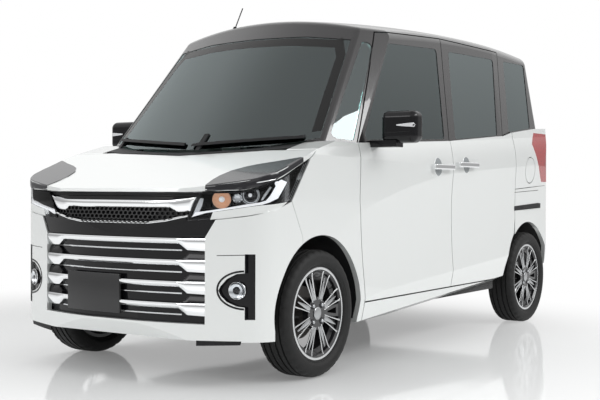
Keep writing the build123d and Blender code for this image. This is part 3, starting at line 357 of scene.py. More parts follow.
# %% Cloth for the seats
def woven(name, colour, thread):
    """Cloth with crossing threads that show in its colour and its bump."""
    material, tree, output = node_material(name)
    join = tree.links.new
    surface = shader_node(tree, "BsdfPrincipled", Roughness=0.9, Sheen_Weight=0.35,
                          Sheen_Roughness=0.4)
    place = shader_node(tree, "TexCoord")
    waves = []
    for direction in ("X", "Z"):
        wave = shader_node(tree, "TexWave", ("bands_direction", direction), Scale=thread,
                           Distortion=0.6)
        join(place.outputs["Object"], wave.inputs["Vector"])
        waves.append(wave.outputs["Fac"])
    threads = either(tree, *waves)
    cloud = shader_node(tree, "TexNoise", Scale=9)
    join(place.outputs["Object"], cloud.inputs["Vector"])
    tint = shader_node(tree, "Mix", ("data_type", "RGBA"),
                       A=tuple(c * 0.72 for c in colour) + (1,),
                       B=tuple(c * 1.15 for c in colour) + (1,))
    join(either(tree, threads, cloud.outputs["Fac"], "MULTIPLY"), tint.inputs["Factor"])
    join(tint.outputs["Result"], surface.inputs["Base Color"])
    bump = shader_node(tree, "Bump", Distance=0.0006)
    join(threads, bump.inputs["Height"])
    join(bump.outputs["Normal"], surface.inputs["Normal"])
    join(surface.outputs[0], output.inputs["Surface"])
    return material


seat_cloth = woven("woven_seat_cloth", (0.075, 0.073, 0.072), 420)
print("seat cloth:", seat_cloth.name)

# %% [markdown]
# The record gives every CAD piece a material slot. The finishes are handed out by slot, so that
# pieces that are painted together on the real car stay alike.

# %% Give every CAD piece its finish
slot_finish = {
    "body_white": pearl_white, "body_black": gloss_black_paint, "black_plastic": moulded_black,
    "gloss_black": piano_black, "chrome": bright_chrome, "screen_glass": screen_glass,
    "privacy_glass": privacy_glass, "lens": lens_glass, "red_lens": tail_red,
    "alloy": dark_wheel, "iron": cast_iron, "steel": black_steel, "engine_metal": cast_alloy,
    "tyre": tyre_rubber, "seat_cloth": seat_cloth, "cabin_plastic": cabin_plastic,
    "cabin_metal": floor_carpet, "wheel_rim_grip": grip_leather,
}
slots = {part["node"]: part["material_slot"] for part in frame["record"]["subparts"]}
for name, node in nodes.items():
    node.data.materials.clear()
    node.data.materials.append(slot_finish[slots[name]])
print("finishes on", len(nodes), "pieces")

# %% [markdown]
# Most small pieces of a car lie on its skin: mouldings, lamps' parts, trim. So these helpers ask
# the CAD surface where it is. A point is given in a view, such as (x, z) seen from the front, or
# in a slanted view by its direction, and a ray finds the skin there. Another way is to model each
# piece free-hand and push it onto the body with a shrinkwrap; rays keep its outline exactly where
# it was drawn.

# %% Helpers that find the car's skin
from mathutils.bvhtree import BVHTree
from mathutils.geometry import delaunay_2d_cdt

front_axle = -1.1425
rear_axle = 1.2875


def skin_of(*names):
    """A search tree over the surfaces of CAD pieces."""
    points, faces = [], []
    for name in names:
        start = len(points)
        points += [vertex.co.copy() for vertex in nodes[name].data.vertices]
        faces += [[start + i for i in face.vertices] for face in nodes[name].data.polygons]
    return BVHTree.FromPolygons(points, faces)


def slanted(view):
    """The directions of u and v in a slanted view."""
    across = Vector((-view.y, view.x, 0)).normalized()
    return across, view.cross(across)


def seen_from(view, u, v):
    """Where a ray starts, and its direction, for a point of a view."""
    if view == "front":
        return Vector((u, -4, v)), Vector((0, 1, 0))
    if view == "back":
        return Vector((u, 4, v)), Vector((0, -1, 0))
    if view == "side":
        return Vector((3, u + front_axle, v)), Vector((-1, 0, 0))
    across, high = slanted(view)
    return across * u + high * v + view * 5, -view


def flat(view, points):
    """The (u, v) of points given as (x, distance behind the front axle, z), for a slanted view."""
    across, high = slanted(view)
    places = [Vector((x, y + front_axle, z)) for x, y, z in points]
    return [(place.dot(across), place.dot(high)) for place in places]


def on_skin(view, skin, u, v, proud=0.0):
    """The point of the skin under (u, v), or nearest to its ray, moved out by proud."""
    start, way = seen_from(view, u, v)
    place = skin.ray_cast(start, way)[0]
    if place is None:
        place = start + way * 2.0
        for _ in range(8):
            near = skin.find_nearest(place)[0]
            place = start + way * (near - start).dot(way)
    return place - way * proud


print("front axle at", front_axle, "rear axle at", rear_axle)

# %% [markdown]
# A piece is made from points and faces, gets its finish, its body and a small bevel, because every
# real edge catches a line of light. A left-hand piece can bring its right-hand twin: in the same
# object where both sit on the shell, or as a second one where they ride on two doors.

# %% Helper that makes a piece, with a twin if asked
smooth_angle = math.radians(32)
bevel_angle = math.radians(40)


def mount(made, body):
    """Puts an object in the scene, on a body of the car."""
    bpy.context.collection.objects.link(made)
    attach(made, body)


def piece(name, points, faces, material, body, slot, twin="", bevel=0.0, smooth=True):
    """A mesh piece on a body. twin is "" for none, "same" for one object, or the twin's body."""
    reflected = [Vector((-p[0], p[1], p[2])) for p in points]
    flipped = [list(reversed(face)) for face in faces]
    if twin == "same":
        flipped = [[len(points) + i for i in face] for face in flipped]
        points, faces, twin = list(points) + reflected, list(faces) + flipped, ""
    mesh = bpy.data.meshes.new(name)
    mesh.from_pydata([tuple(p) for p in points], [], faces)
    mesh.validate()
    mesh.materials.append(material)
    if smooth:
        for face in mesh.polygons:
            face.use_smooth = True
        mesh.set_sharp_from_angle(angle=smooth_angle)
    made = bpy.data.objects.new(name, mesh)
    if bevel:
        edge = made.modifiers.new("edge", "BEVEL")
        edge.width = bevel
        edge.segments = 2
        edge.angle_limit = bevel_angle
    mount(made, body)
    if twin:
        piece(name.replace("left", "right"), reflected, flipped, material, twin, slot, "", bevel,
              smooth)
    return made


def merged(parts):
    """The points and faces of several parts as one."""
    points, faces = [], []
    for part_points, part_faces in parts:
        start = len(points)
        points += part_points
        faces += [[start + i for i in face] for face in part_faces]
    return points, faces


print("helper ready: piece")

# %% [markdown]
# Lamps, cups, blank plates and glass are thin plates on the skin, inside an outline of any shape.
# The outline's edge and a grid of points inside it are joined to triangles, which then follow the
# skin; one large flat face would cut through it.

# %% Helper for plates on the skin
def stepped(line, step):
    """A line of view points cut into even steps of about step, without its last point."""
    path = []
    for (u0, v0), (u1, v1) in zip(line, line[1:]):
        count = max(1, round(math.hypot(u1 - u0, v1 - v0) / step))
        path += [(u0 + (u1 - u0) * k / count, v0 + (v1 - v0) * k / count) for k in range(count)]
    return path


def patch(name, outline, view, skin, material, body, slot, twin="", proud=0.001, deep=0.004,
          step=0.03, bevel=0.0):
    """A plate laid on the skin inside an outline of view points, proud of it and deep below."""
    edge = [Vector(point) for point in stepped(outline + outline[:1], step)]
    low_u, low_v = min(p.x for p in edge), min(p.y for p in edge)
    cols = int((max(p.x for p in edge) - low_u) / step)
    rows = int((max(p.y for p in edge) - low_v) / step)
    grid = [Vector((low_u + (i + 0.5) * step, low_v + (j + 0.5) * step))
            for i in range(cols) for j in range(rows)]
    spots, _, tiles, _, _, _ = delaunay_2d_cdt(edge + grid, [], [list(range(len(edge)))], 1, 1e-6)
    used = sorted({i for tile in tiles for i in tile})
    place = {old: new for new, old in enumerate(used)}
    tiles = [[place[i] for i in tile] for tile in tiles]
    top, foot = ([on_skin(view, skin, spots[i].x, spots[i].y, level) for i in used]
                 for level in (proud, proud - deep))
    count = len(top)
    first = tiles[0]
    normal = (top[first[1]] - top[first[0]]).cross(top[first[2]] - top[first[0]])
    if normal.dot(top[first[0]] - foot[first[0]]) < 0:
        tiles = [list(reversed(tile)) for tile in tiles]
    border = {(a, b): True for tile in tiles for a, b in zip(tile, tile[1:] + tile[:1])}
    walls = [[b, a, count + a, count + b] for (a, b) in border if (b, a) not in border]
    under = [[count + i for i in reversed(tile)] for tile in tiles]
    return piece(name, top + foot, tiles + under + walls, material, body, slot, twin, bevel)


print("helper ready: patch")

# %% [markdown]
# Mouldings, seams and ribs are long and of even width, so they are laid along a line instead. They
# are a little crowned, since a flat strip would catch no line of light.

# %% Helper for mouldings on the skin
def strip(name, line, width, view, skin, material, body, slot, twin="", proud=0.001, crown=0.002,
          step=0.02):
    """A crowned moulding of that width, laid on the skin along a line of view points."""
    root = -0.004  # how far its sides go into the skin
    section = [(-1, root), (-1, 0), (-0.6, crown * 0.75), (0, crown), (0.6, crown * 0.75), (1, 0),
               (1, root)]
    path = stepped(line, step) + [line[-1]]
    points, faces, n = [], [], len(section)
    for k, (u, v) in enumerate(path):
        before, after = path[max(0, k - 1)], path[min(len(path) - 1, k + 1)]
        du, dv = after[0] - before[0], after[1] - before[1]
        size = math.hypot(du, dv)
        for share, rise in section:
            points.append(on_skin(view, skin, u - dv / size * share * width / 2,
                                  v + du / size * share * width / 2, proud + rise))
    for k in range(len(path) - 1):
        for j in range(n):
            faces.append([k * n + j, k * n + (j + 1) % n, (k + 1) * n + (j + 1) % n,
                          (k + 1) * n + j])
    faces.append(list(range(n - 1, -1, -1)))
    faces.append([(len(path) - 1) * n + j for j in range(n)])
    return piece(name, points, faces, material, body, slot, twin)


print("helper ready: strip")

# %% [markdown]
# Round parts come from two more helpers. One turns a profile about an axis, as a lathe does, with
# flat ends or closed to a ring. The other draws a round bar along a smooth curve, as a wire is
# bent; a curve object keeps it round in its bends without any work on its section.

# %% Helpers for turned parts and bent bars
def lathe_faces(rows, count, ring):
    """Faces between rows of count points each; in a ring the last row meets the first."""
    faces = []
    for j in range(rows if ring else rows - 1):
        a, b = j * count, (j + 1) % rows * count
        faces += [[a + k, a + (k + 1) % count, b + (k + 1) % count, b + k] for k in range(count)]
    return faces


def turned(profile, centre, axis, count, ring=False):
    """Points and faces turned about axis, from (along, radius) pairs; a ring has no flat ends."""
    axis = Vector(axis).normalized()
    side = axis.orthogonal().normalized()
    third = axis.cross(side)
    points = []
    for along, radius in profile:
        for k in range(count):
            angle = 2 * math.pi * k / count
            points.append(Vector(centre) + axis * along
                          + (side * math.cos(angle) + third * math.sin(angle)) * radius)
    faces = lathe_faces(len(profile), count, ring)
    if not ring:
        faces.append(list(range(count - 1, -1, -1)))
        faces.append([(len(profile) - 1) * count + k for k in range(count)])
    return points, faces


def wire(name, points, radius, material, body):
    """A round bar along a smooth line of points."""
    curve = bpy.data.curves.new(name, "CURVE")
    curve.dimensions = "3D"
    curve.bevel_depth = radius
    curve.bevel_resolution = 3
    curve.use_fill_caps = True
    spline = curve.splines.new("NURBS")
    spline.points.add(len(points) - 1)
    for point, place in zip(spline.points, points):
        point.co = tuple(place) + (1,)
    spline.order_u = 3
    spline.use_endpoint_u = True
    curve.materials.append(material)
    mount(bpy.data.objects.new(name, curve), body)


print("helpers ready: turned, wire")

# %% [markdown]
# A tyre is turned, but its outside is not smooth: four grooves run round the tread, the shoulders
# are cut into blocks, and the side wall carries fine rings and a rib that guards the rim. A lathe
# gives the rings, and the shoulder rows are pushed in at every fourth step of the lathe to cut the
# blocks. A displacement texture could do the same, but would not show at the outline.

# %% Tyres with grooves, blocks and side wall rings
wheels = [("front_left", 0.650, front_axle, 1), ("front_right", -0.650, front_axle, -1),
          ("rear_left", 0.645, rear_axle, 1), ("rear_right", -0.645, rear_axle, -1)]
axle_height = 0.281
bead_radius = 0.2070
bead_half = 0.0550  # half the width between the beads, where the plain liner lies
groove_places = (0.0455, 0.0165)  # from the tyre's middle
groove_floor = 0.2735
tread_steps = 144
uneven = 0.35  # the share of a step by which every other one is turned on
block_gap = 0.0042


def tyre_profile():
    """(across, radius, is a shoulder block) from the inner bead round to the outer bead."""
    wall = [(0.0625, bead_radius), (0.0660, 0.2085), (0.0700, 0.2105), (0.0728, 0.2130),
            (0.0722, 0.2150), (0.0765, 0.2200), (0.0795, 0.2280), (0.0803, 0.2292),
            (0.0806, 0.2304), (0.0815, 0.2380), (0.0820, 0.2440), (0.0816, 0.2500),
            (0.0806, 0.2560), (0.0800, 0.2572), (0.0780, 0.2630)]
    shoulder = [(0.0745, 0.2690), (0.0700, 0.2735), (0.0640, 0.2768), (0.0560, 0.2790)]
    tread = []
    for groove in groove_places:
        tread += [(groove + 0.0045, 0.2803), (groove + 0.0035, groove_floor),
                  (groove - 0.0035, groove_floor), (groove - 0.0045, 0.2808)]
    half = ([(a, r, False) for a, r in wall] + [(a, r, True) for a, r in shoulder]
            + [(a, r, False) for a, r in tread])
    return [(-a, r, b) for a, r, b in half] + [(a, r, b) for a, r, b in reversed(half)]


def make_tyre(name, x, y):
    """A closed tyre ring about the wheel's axle; its inner side is a plain liner."""
    profile = tyre_profile() + [(bead_half, bead_radius, False), (-bead_half, bead_radius, False)]
    points = []
    for across, radius, block in profile:
        for k in range(tread_steps):
            angle = 2 * math.pi * (k + uneven * (k % 2)) / tread_steps
            reach = radius - (block_gap if block and k % 4 == 0 else 0)
            points.append((x + across, y + reach * math.cos(angle),
                           axle_height + reach * math.sin(angle)))
    faces = lathe_faces(len(profile), tread_steps, ring=True)
    tyre = piece("tread_" + name, points, faces, tyre_rubber, "wheel_" + name, "tyre")
    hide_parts("tyre_" + name)


for name, x, y, out in wheels:
    make_tyre(name, x, y)
print("tyres:", len(wheels), "with", tread_steps, "steps round the tread")

# %% [markdown]
# The wheel is an eight-spoke casting, painted dark and then skimmed on a lathe, so its front edges
# are bare bright metal. Each spoke has two thin bright arms that start close together at the hub
# and spread to the rim, with a raised silver wedge between them, widest near the hub. They are
# built once for one spoke as crowned bars, then turned round the axle in code.

# %% Helpers for the spokes of a wheel
machined = finish("machined_alloy", (0.74, 0.75, 0.76), 0.20, metallic=1.0, spread=0.06, coat=0.4)
satin_silver = finish("silver_wheel_paint", (0.46, 0.47, 0.48), 0.30, metallic=0.85, coat=0.5,
                      grain=1500, depth=0.0001)
wheel_face = 0.0585  # the casting's front face, from the wheel's centre plane
spokes = 8
first_spoke = 22.5


def bar_along(path, widths, heights, crown):
    """A closed bar: path of (radial, lateral, axial) points, with a width and a height at each."""
    points, faces = [], []
    for (radial, lateral, axial), wide, tall in zip(path, widths, heights):
        edge = tall * (1 - crown)
        for share, rise in ((-1, -0.002), (-1, edge), (0, tall), (1, edge), (1, -0.002)):
            points.append((radial, lateral + share * wide, axial + rise))
    for k in range(len(path) - 1):
        for j in range(5):
            faces.append([k * 5 + j, (k + 1) * 5 + j, (k + 1) * 5 + (j + 1) % 5,
                          k * 5 + (j + 1) % 5])
    last = (len(path) - 1) * 5
    faces += [[0, 1, 2, 3, 4], [last + 4, last + 3, last + 2, last + 1, last]]
    return points, faces


def round_wheel(x, y, out, parts):
    """Copies of parts for every spoke of a wheel; axial 0 is the wheel's centre plane."""
    copies = []
    for k in range(spokes):
        angle = math.radians(first_spoke + 360 * k / spokes)
        for points, faces in parts:
            copies.append(([(x + out * axial,
                             y + out * (radial * math.cos(angle) - lateral * math.sin(angle)),
                             axle_height + radial * math.sin(angle) + lateral * math.cos(angle))
                            for radial, lateral, axial in points], faces))
    return merged(copies)


print("wheel finishes:", machined.name, satin_silver.name)

# %% [markdown]
# The arms widen and stand further out towards the rim, where they run into a bright skimmed ring.
# The wedges are fullest near the hub. Ring and hub cap are turned.

# %% Wheels: bright arms, wedges, rim ring and cap
arms = [bar_along([(0.060, side * 0.0125, wheel_face), (0.120, side * 0.0185, wheel_face),
                   (0.172, side * 0.0255, wheel_face), (0.186, side * 0.0275, wheel_face + 0.003),
                   (0.1935, side * 0.0295, wheel_face + 0.0062)],
                  [0.0024, 0.0027, 0.0033, 0.0042, 0.0060], [0.0022] * 5, crown=0.35)
        for side in (-1, 1)]
wedge = bar_along([(radial, 0, wheel_face) for radial in (0.064, 0.078, 0.120, 0.166)],
                  [0.0070, 0.0108, 0.0078, 0.0020], [0.0030, 0.0052, 0.0042, 0.0016], crown=0.55)
ring_profile = [(0.0640, 0.1935), (0.0664, 0.1945), (0.0667, 0.1990), (0.0664, 0.2040),
                (0.0640, 0.2060)]
cap_profile = [(0.0560, 0.0275), (0.0620, 0.0285), (0.0632, 0.0270), (0.0624, 0.0245),
               (0.0634, 0.0225), (0.0642, 0.0120), (0.0644, 0.0005)]
for name, x, y, out in wheels:
    centre, axis, riding = (x, y, axle_height), (out, 0, 0), "wheel_" + name
    piece("wheel_arms_" + name, *round_wheel(x, y, out, arms), machined, riding, "alloy",
          bevel=0.0004)
    piece("wheel_wedges_" + name, *round_wheel(x, y, out, [wedge]), satin_silver, riding, "alloy",
          bevel=0.0005)
    piece("rim_ring_" + name, *turned(ring_profile, centre, axis, 96, ring=True), machined, riding,
          "alloy")
    piece("wheel_cap_" + name, *turned(cap_profile, centre, axis, 48), satin_silver, riding,
          "alloy")
print("wheels:", spokes, "spokes each, with arms, wedges, ring and cap")

# %% [markdown]
# Each wheel is held by four nuts in dark seats. A nut is a hexagon with a rounded, flanged head;
# turning a profile with six steps gives the hexagon, and many steps give its round seat. A rubber
# valve leans out of the rim.

# %% Wheel nuts in their seats, and the valves
zinc = finish("zinc_plated_steel", (0.55, 0.56, 0.58), 0.25, metallic=1.0)
nut_count = 4
nut_circle = 0.050
nut_profile = [(0.0578, 0.0090), (0.0650, 0.0090), (0.0672, 0.0075), (0.0680, 0.0003)]
seat_profile = [(0.0583, 0.0150), (0.0597, 0.0150), (0.0599, 0.0138), (0.0590, 0.0118),
                (0.0590, 0.0004)]
valve_profile = [(0, 0.0038), (0.012, 0.0038), (0.013, 0.0045), (0.022, 0.0045), (0.023, 0.0030)]
for name, x, y, out in wheels:
    riding, places = "wheel_" + name, []
    for k in range(nut_count):
        angle = math.radians(45 + 360 * k / nut_count)
        places.append((x, y + out * nut_circle * math.cos(angle),
                       axle_height + nut_circle * math.sin(angle)))
    nuts = merged([turned(nut_profile, place, (out, 0, 0), 6) for place in places])
    seats = merged([turned(seat_profile, place, (out, 0, 0), 28) for place in places])
    piece("wheel_nuts_" + name, *nuts, zinc, riding, "steel", bevel=0.0008)
    piece("nut_seats_" + name, *seats, piano_black, riding, "alloy")
    valve_foot = Vector((x, y, axle_height)) + Vector((out * 0.052, -0.178, 0.0))
    piece("valve_" + name, *turned(valve_profile, valve_foot, (out * 0.6, 0.75, 0), 16),
          moulded_black, riding, "black_plastic")
print("nuts and valves on", len(wheels), "wheels")

# %% [markdown]
# Behind the bright bars, the nose is closed by a black mesh of small hexagons. Each cell is a
# hexagonal ring of thin walls, so the mesh is real geometry and lets light fall through it. An
# image or a bump could only paint it. The cells are placed on a staggered grid, those that fall
# inside an outline are kept, and each point is moved back onto the curved grille by a ray.

# %% Hexagonal mesh of the upper grille
nose = skin_of("grille")
mesh_black = finish("grille_mesh_black", (0.012, 0.012, 0.013), 0.35, grain=900, depth=0.0002)
mesh_proud, mesh_deep = 0.010, 0.010
row_share = 0.62  # the height of a row of cells, as a share of their width
cell_half_wide, cell_half_high = 0.577, 0.667  # as shares of the width and of the row


def inside(outline, u, v):
    """Whether a point is inside an outline, by counting the sides it looks across."""
    odd = False
    for (u0, v0), (u1, v1) in zip(outline, outline[1:] + outline[:1]):
        if (v0 > v) != (v1 > v) and u < (u1 - u0) * (v - v0) / (v1 - v0) + u0:
            odd = not odd
    return odd


def hexagon_mesh(name, outline, pitch, wall):
    """Hexagonal cells over an outline seen from the front; wall is a share of a cell."""
    points, faces = [], []
    low_u, low_v = min(p[0] for p in outline), min(p[1] for p in outline)
    row_height = pitch * row_share
    for j in range(int((max(p[1] for p in outline) - low_v) / row_height) + 2):
        for i in range(int((max(p[0] for p in outline) - low_u) / pitch) + 2):
            u = low_u + (i + 0.5 * (j % 2)) * pitch
            v = low_v + j * row_height
            if not inside(outline, u, v):
                continue
            start = len(points)
            for level in (mesh_proud, mesh_proud - mesh_deep):
                for size in (1.0, 1.0 - wall):
                    for k in range(6):
                        angle = math.radians(60 * k + 90)
                        points.append(on_skin(
                            "front", nose, u + size * pitch * cell_half_wide * math.cos(angle),
                            v + size * row_height * cell_half_high * math.sin(angle), level))
            for k in range(6):
                n = (k + 1) % 6
                faces += [[start + k, start + n, start + 6 + n, start + 6 + k],
                          [start + 6 + k, start + 6 + n, start + 18 + n, start + 18 + k],
                          [start + n, start + k, start + 12 + k, start + 12 + n]]
    return piece(name, points, faces, mesh_black, "body", "black_plastic", smooth=False)


upper_band = [(-0.440, 0.796), (-0.427, 0.800), (0.427, 0.800), (0.440, 0.796), (0.446, 0.812),
              (-0.446, 0.812)]
lower_band = [(-0.385, 0.722), (-0.285, 0.702), (-0.197, 0.692), (0.197, 0.692), (0.285, 0.702),
              (0.385, 0.722), (0.331, 0.731), (0.297, 0.747), (-0.297, 0.747), (-0.331, 0.731)]
hexagon_mesh("grille_mesh_upper", upper_band, pitch=0.012, wall=0.30)
hexagon_mesh("grille_mesh_lower", lower_band, pitch=0.026, wall=0.22)
print("grille mesh made")

# %% [markdown]
# The bars, the band and the thin lines are plated plastic mouldings: their upper half faces the
# sky and shines, and their lower half slopes back and stays grey. That slope is what makes them
# read as bars. So each one is swept along the curved nose with a true section, given as pairs of a
# share of its height and a depth behind the nose.

# %% Helpers for mouldings of the nose
nose_tip = cad_box[0][1]
nose_radius = 1.6548


def nose_point(x, z, inset):
    """A point of the nose, which is round in plan and leans back above and below the bars."""
    plan = nose_radius - math.sqrt(nose_radius ** 2 - x * x)
    lean = max(0, (z - 0.64) * 0.2, (0.42 - z) * 0.03)
    return Vector((x, nose_tip + (plan ** 4 + lean ** 4) ** 0.25 + inset, z))


def height_at(line, x):
    """The height of a line of (x, z) points at x."""
    for (x0, z0), (x1, z1) in zip(line, line[1:]):
        if x <= x1:
            return z0 + (z1 - z0) * (x - x0) / (x1 - x0)
    return line[-1][1]


def nose_bar(low, high, section):
    """Points and faces of a moulding between two lines of (x, z) points."""
    first, last = max(low[0][0], high[0][0]), min(low[-1][0], high[-1][0])
    stops = sorted({round(first + (last - first) * k / 60, 5) for k in range(61)}
                   | {x for x, z in low + high if first <= x <= last})
    points, faces, n = [], [], len(section)
    for x in stops:
        foot, head = height_at(low, x), height_at(high, x)
        points += [nose_point(x, foot + (head - foot) * share, inset) for share, inset in section]
    for k in range(len(stops) - 1):
        for j in range(n):
            a, b = k * n, (k + 1) * n
            faces.append([a + j, b + j, b + (j + 1) % n, a + (j + 1) % n])
    faces.append(list(range(n)))
    faces.append([(len(stops) - 1) * n + j for j in reversed(range(n))])
    return points, faces


def mirrored(line):
    """A line given from the middle outwards, with its right-hand half."""
    return [(-x, z) for x, z in reversed(line)] + line


print("nose: tip at y", round(nose_tip, 4), "radius", nose_radius)

# %% [markdown]
# Four bars cross the nose under one wider band that links the lamps, and thin bright lines lie
# between and above them. They take the place of the CAD model's plain chrome. Small black fills
# close the gap between the ends of the bars and the bumper.

# %% Chrome bars, band and lines of the nose
bar_heights = [0.324 + 0.091 * step for step in range(4)]
line_heights = (0.299, 0.388, 0.478, 0.570)
line_half = 0.0032
bar_section = [(1, 0.0285), (1, 0.0085), (0.97, 0.0042), (0.86, 0.0018), (0.62, 0.0014),
               (0.52, 0.0026), (0.10, 0.0112), (0.02, 0.0135), (0, 0.0165), (0, 0.0285)]
band_section = [(1, 0.021), (1, 0.0060), (0.95, 0.0022), (0.80, 0.0008), (0.50, 0.0012),
                (0.38, 0.0030), (0.06, 0.0098), (0, 0.0125), (0, 0.021)]
line_section = [(1, 0.012), (1, 0.0022), (0.75, 0.0004), (0.35, 0.0004), (0.05, 0.0022),
                (0, 0.012)]
top_section = [(share, inset + 0.006) for share, inset in line_section[1:-1]] + [
    (0, 0.040), (1, 0.040)]
sunk_section = [(share, 0.0185 + inset) for share, inset in line_section]
fill_section = [(1, 0.030), (1, 0.020), (0.5, 0.012), (0, 0.009), (0, 0.030)]

bars = [nose_bar(mirrored([(0.341, z), (0.379, z - 0.026), (0.465, z - 0.029)]),
                 mirrored([(0.341, z + 0.025), (0.465, z + 0.027)]), bar_section)
        for z in bar_heights]
chrome_bars = piece("grille_bars", *merged(bars), bright_chrome, "body", "chrome")
lines = [nose_bar(mirrored([(0.297, 0.747), (0.331, 0.731), (0.396, 0.734), (0.426, 0.790)]),
                  mirrored([(0.297, 0.781), (0.427, 0.795)]), band_section),
         nose_bar(mirrored([(0.197, 0.680), (0.285, 0.690), (0.388, 0.712)]),
                  mirrored([(0.197, 0.6885), (0.285, 0.6985), (0.388, 0.7205)]), line_section),
         nose_bar(mirrored([(0.15, 0.8135), (0.448, 0.8135)]),
                  mirrored([(0.15, 0.8185), (0.448, 0.8185)]), top_section)]
lines += [nose_bar(mirrored([(0.10, z - line_half), (0.350, z - line_half)]),
                   mirrored([(0.10, z + line_half), (0.350, z + line_half)]), sunk_section)
          for z in line_heights]
chrome_lines = piece("grille_band_and_lines", *merged(lines), bright_chrome, "body", "chrome")
for made in (chrome_bars, chrome_lines):
    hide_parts("grille_chrome")
fills = []
for z in bar_heights:
    for side in (-1, 1):
        high = [(side * 0.352, z + 0.030), (side * 0.388, z + 0.058), (side * 0.464, z + 0.058)]
        high = high if side > 0 else high[::-1]
        fills.append(nose_bar([(x, z + 0.026) for x, _ in high], high, fill_section))
piece("grille_end_fills", *merged(fills), piano_black, "body", "gloss_black")
print("chrome:", len(bars), "bars, one band,", len(lines) - 1, "thin lines")

# %% [markdown]
# The headlamp is a deep black box behind a clear lens. In it sit an amber turn lamp, a projector
# with a bright ring, and a white guide that runs along the bottom and turns up at the outer end.
# The guide is given a painted glow, though the lamp is off. The flat parts are laid a fixed depth
# behind the lens by rays along a slanted view. A body coloured lip closes the gap below. The right
# lamp is the left one's mirror.

# %% Inside the headlamps: flat parts
lamp_view = Vector((0.70, -0.70, 0.14)).normalized()
lens_skin = skin_of("headlamp_lenses")
# The white of the guide, the bulbs and the projector's glint has a painted glow (emission), though
# the lamp is off; it stands in for light in the shaded box.
painted_glow_white = finish("white_guide_painted_glow", (0.80, 0.81, 0.84), 0.18, coat=1.0, grain=1600,
                     depth=0.0002, glow=0.40)
smoked_black = finish("smoked_lamp_black", (0.012, 0.012, 0.015), 0.10, coat=0.4, spread=0.02,
                      specular=0.4)


def lamp_patch(name, outline, material, behind):
    """A plate behind the lens inside an outline of points, in both headlamps."""
    patch(name, flat(lamp_view, outline), lamp_view, lens_skin, material, "body", "gloss_black",
          "same", proud=-behind, deep=0.005, step=0.014, bevel=0.0004)


lamp_patch("lamp_guides", [
    (0.408, -0.503, 0.711), (0.470, -0.486, 0.729), (0.553, -0.458, 0.742), (0.640, -0.421, 0.756),
    (0.686, -0.384, 0.765), (0.705, -0.360, 0.774), (0.719, -0.318, 0.791), (0.725, -0.262, 0.858),
    (0.716, -0.302, 0.870), (0.710, -0.336, 0.858), (0.715, -0.330, 0.842), (0.706, -0.356, 0.802),
    (0.695, -0.372, 0.781), (0.676, -0.392, 0.773), (0.553, -0.457, 0.750), (0.470, -0.485, 0.737),
    (0.425, -0.498, 0.731)], painted_glow_white, 0.003)
lamp_patch("lamp_inner_facets", [
    (0.412, -0.502, 0.714), (0.442, -0.494, 0.732), (0.455, -0.490, 0.760), (0.462, -0.488, 0.790),
    (0.446, -0.492, 0.792), (0.428, -0.497, 0.755)], bright_chrome, 0.012)
lamp_patch("lamp_slivers", [
    (0.706, -0.355, 0.842), (0.711, -0.348, 0.838), (0.690, -0.380, 0.786), (0.684, -0.387, 0.784),
    (0.690, -0.378, 0.806)], bright_chrome, 0.016)
lamp_patch("lamp_end_shades", [
    (0.726, -0.258, 0.860), (0.722, -0.300, 0.796), (0.727, -0.240, 0.788), (0.727, -0.185, 0.850),
    (0.726, -0.150, 0.925), (0.726, -0.235, 0.895)], smoked_black, 0.006)
lamp_patch("lamp_lower_lips", [
    (0.500, -0.477, 0.7325), (0.553, -0.458, 0.7400), (0.640, -0.421, 0.7540),
    (0.686, -0.384, 0.7620), (0.706, -0.358, 0.7640), (0.719, -0.315, 0.7680),
    (0.727, -0.262, 0.7740), (0.719, -0.315, 0.7440), (0.706, -0.358, 0.7330),
    (0.640, -0.421, 0.7190), (0.553, -0.458, 0.7070), (0.488, -0.480, 0.7010)], pearl_white,
    -0.0008)
print("headlamps: guides, facets, slivers, shades and lips")

# %% [markdown]
# The lamps' round parts are turned on a lathe that faces forwards and a little outwards: the
# bowl and bulb of the turn lamp, the ring and lens of the projector with a painted glint in its
# middle, and an eight-sided reflector between them. The amber bowl has a faint painted glow, and
# the bulb and the glint glow white, though the lamp is off.

# %% Inside the headlamps: round parts
# Painted glow: the amber bowl is given a faint emission, though the lamp is off.
amber_bowl_painted_glow = finish("amber_lamp_painted_glow", (0.95, 0.50, 0.26), 0.16, metallic=0.5, coat=1.0, grain=300,
                     depth=0.002, glow=0.05)
lamp_facing = (0.45, -0.89, 0.0)
turn_place = (0.508, front_axle - 0.428, 0.785)
projector_place = (0.620, front_axle - 0.378, 0.803)
between_place = (0.573, front_axle - 0.405, 0.790)
for part_name, place, profile, material, count in (
        ("turn_lamp_bowls", turn_place, [(-0.022, 0.034), (0.002, 0.040), (0.003, 0.038),
                                         (-0.010, 0.030), (-0.018, 0.014), (-0.018, 0.0004)],
         amber_bowl_painted_glow, 40),
        # The bulb is white with a painted glow.
        ("turn_lamp_bulbs", turn_place, [(-0.018, 0.009), (-0.006, 0.013), (0.002, 0.012),
                                         (0.007, 0.007), (0.009, 0.0004)], painted_glow_white, 40),
        ("projector_rings", projector_place, [(-0.026, 0.037), (0.000, 0.040), (0.003, 0.0395),
                                              (0.003, 0.037), (-0.004, 0.034), (-0.005, 0.0335),
                                              (-0.008, 0.0335)], bright_chrome, 40),
        ("projector_lenses", projector_place, [(-0.018, 0.033), (-0.010, 0.031), (-0.002, 0.026),
                                               (0.004, 0.017), (0.0070, 0.008), (0.0078, 0.0004)],
         smoked_black, 40),
        # A small white disc with a painted glow is the glint on the projector's lens.
        ("projector_painted_glints", projector_place, [(0.0066, 0.0085), (0.0082, 0.0078), (0.0092, 0.004),
                                               (0.0094, 0.0004)], painted_glow_white, 20),
        ("small_reflectors", between_place, [(-0.020, 0.017), (0.000, 0.021), (0.001, 0.019),
                                             (-0.006, 0.012), (-0.007, 0.0004)],
         bright_chrome, 8)):
    piece(part_name, *turned(profile, place, lamp_facing, count), material, "body", "gloss_black",
          "same")
print("headlamps: turn lamps, projectors and reflectors")

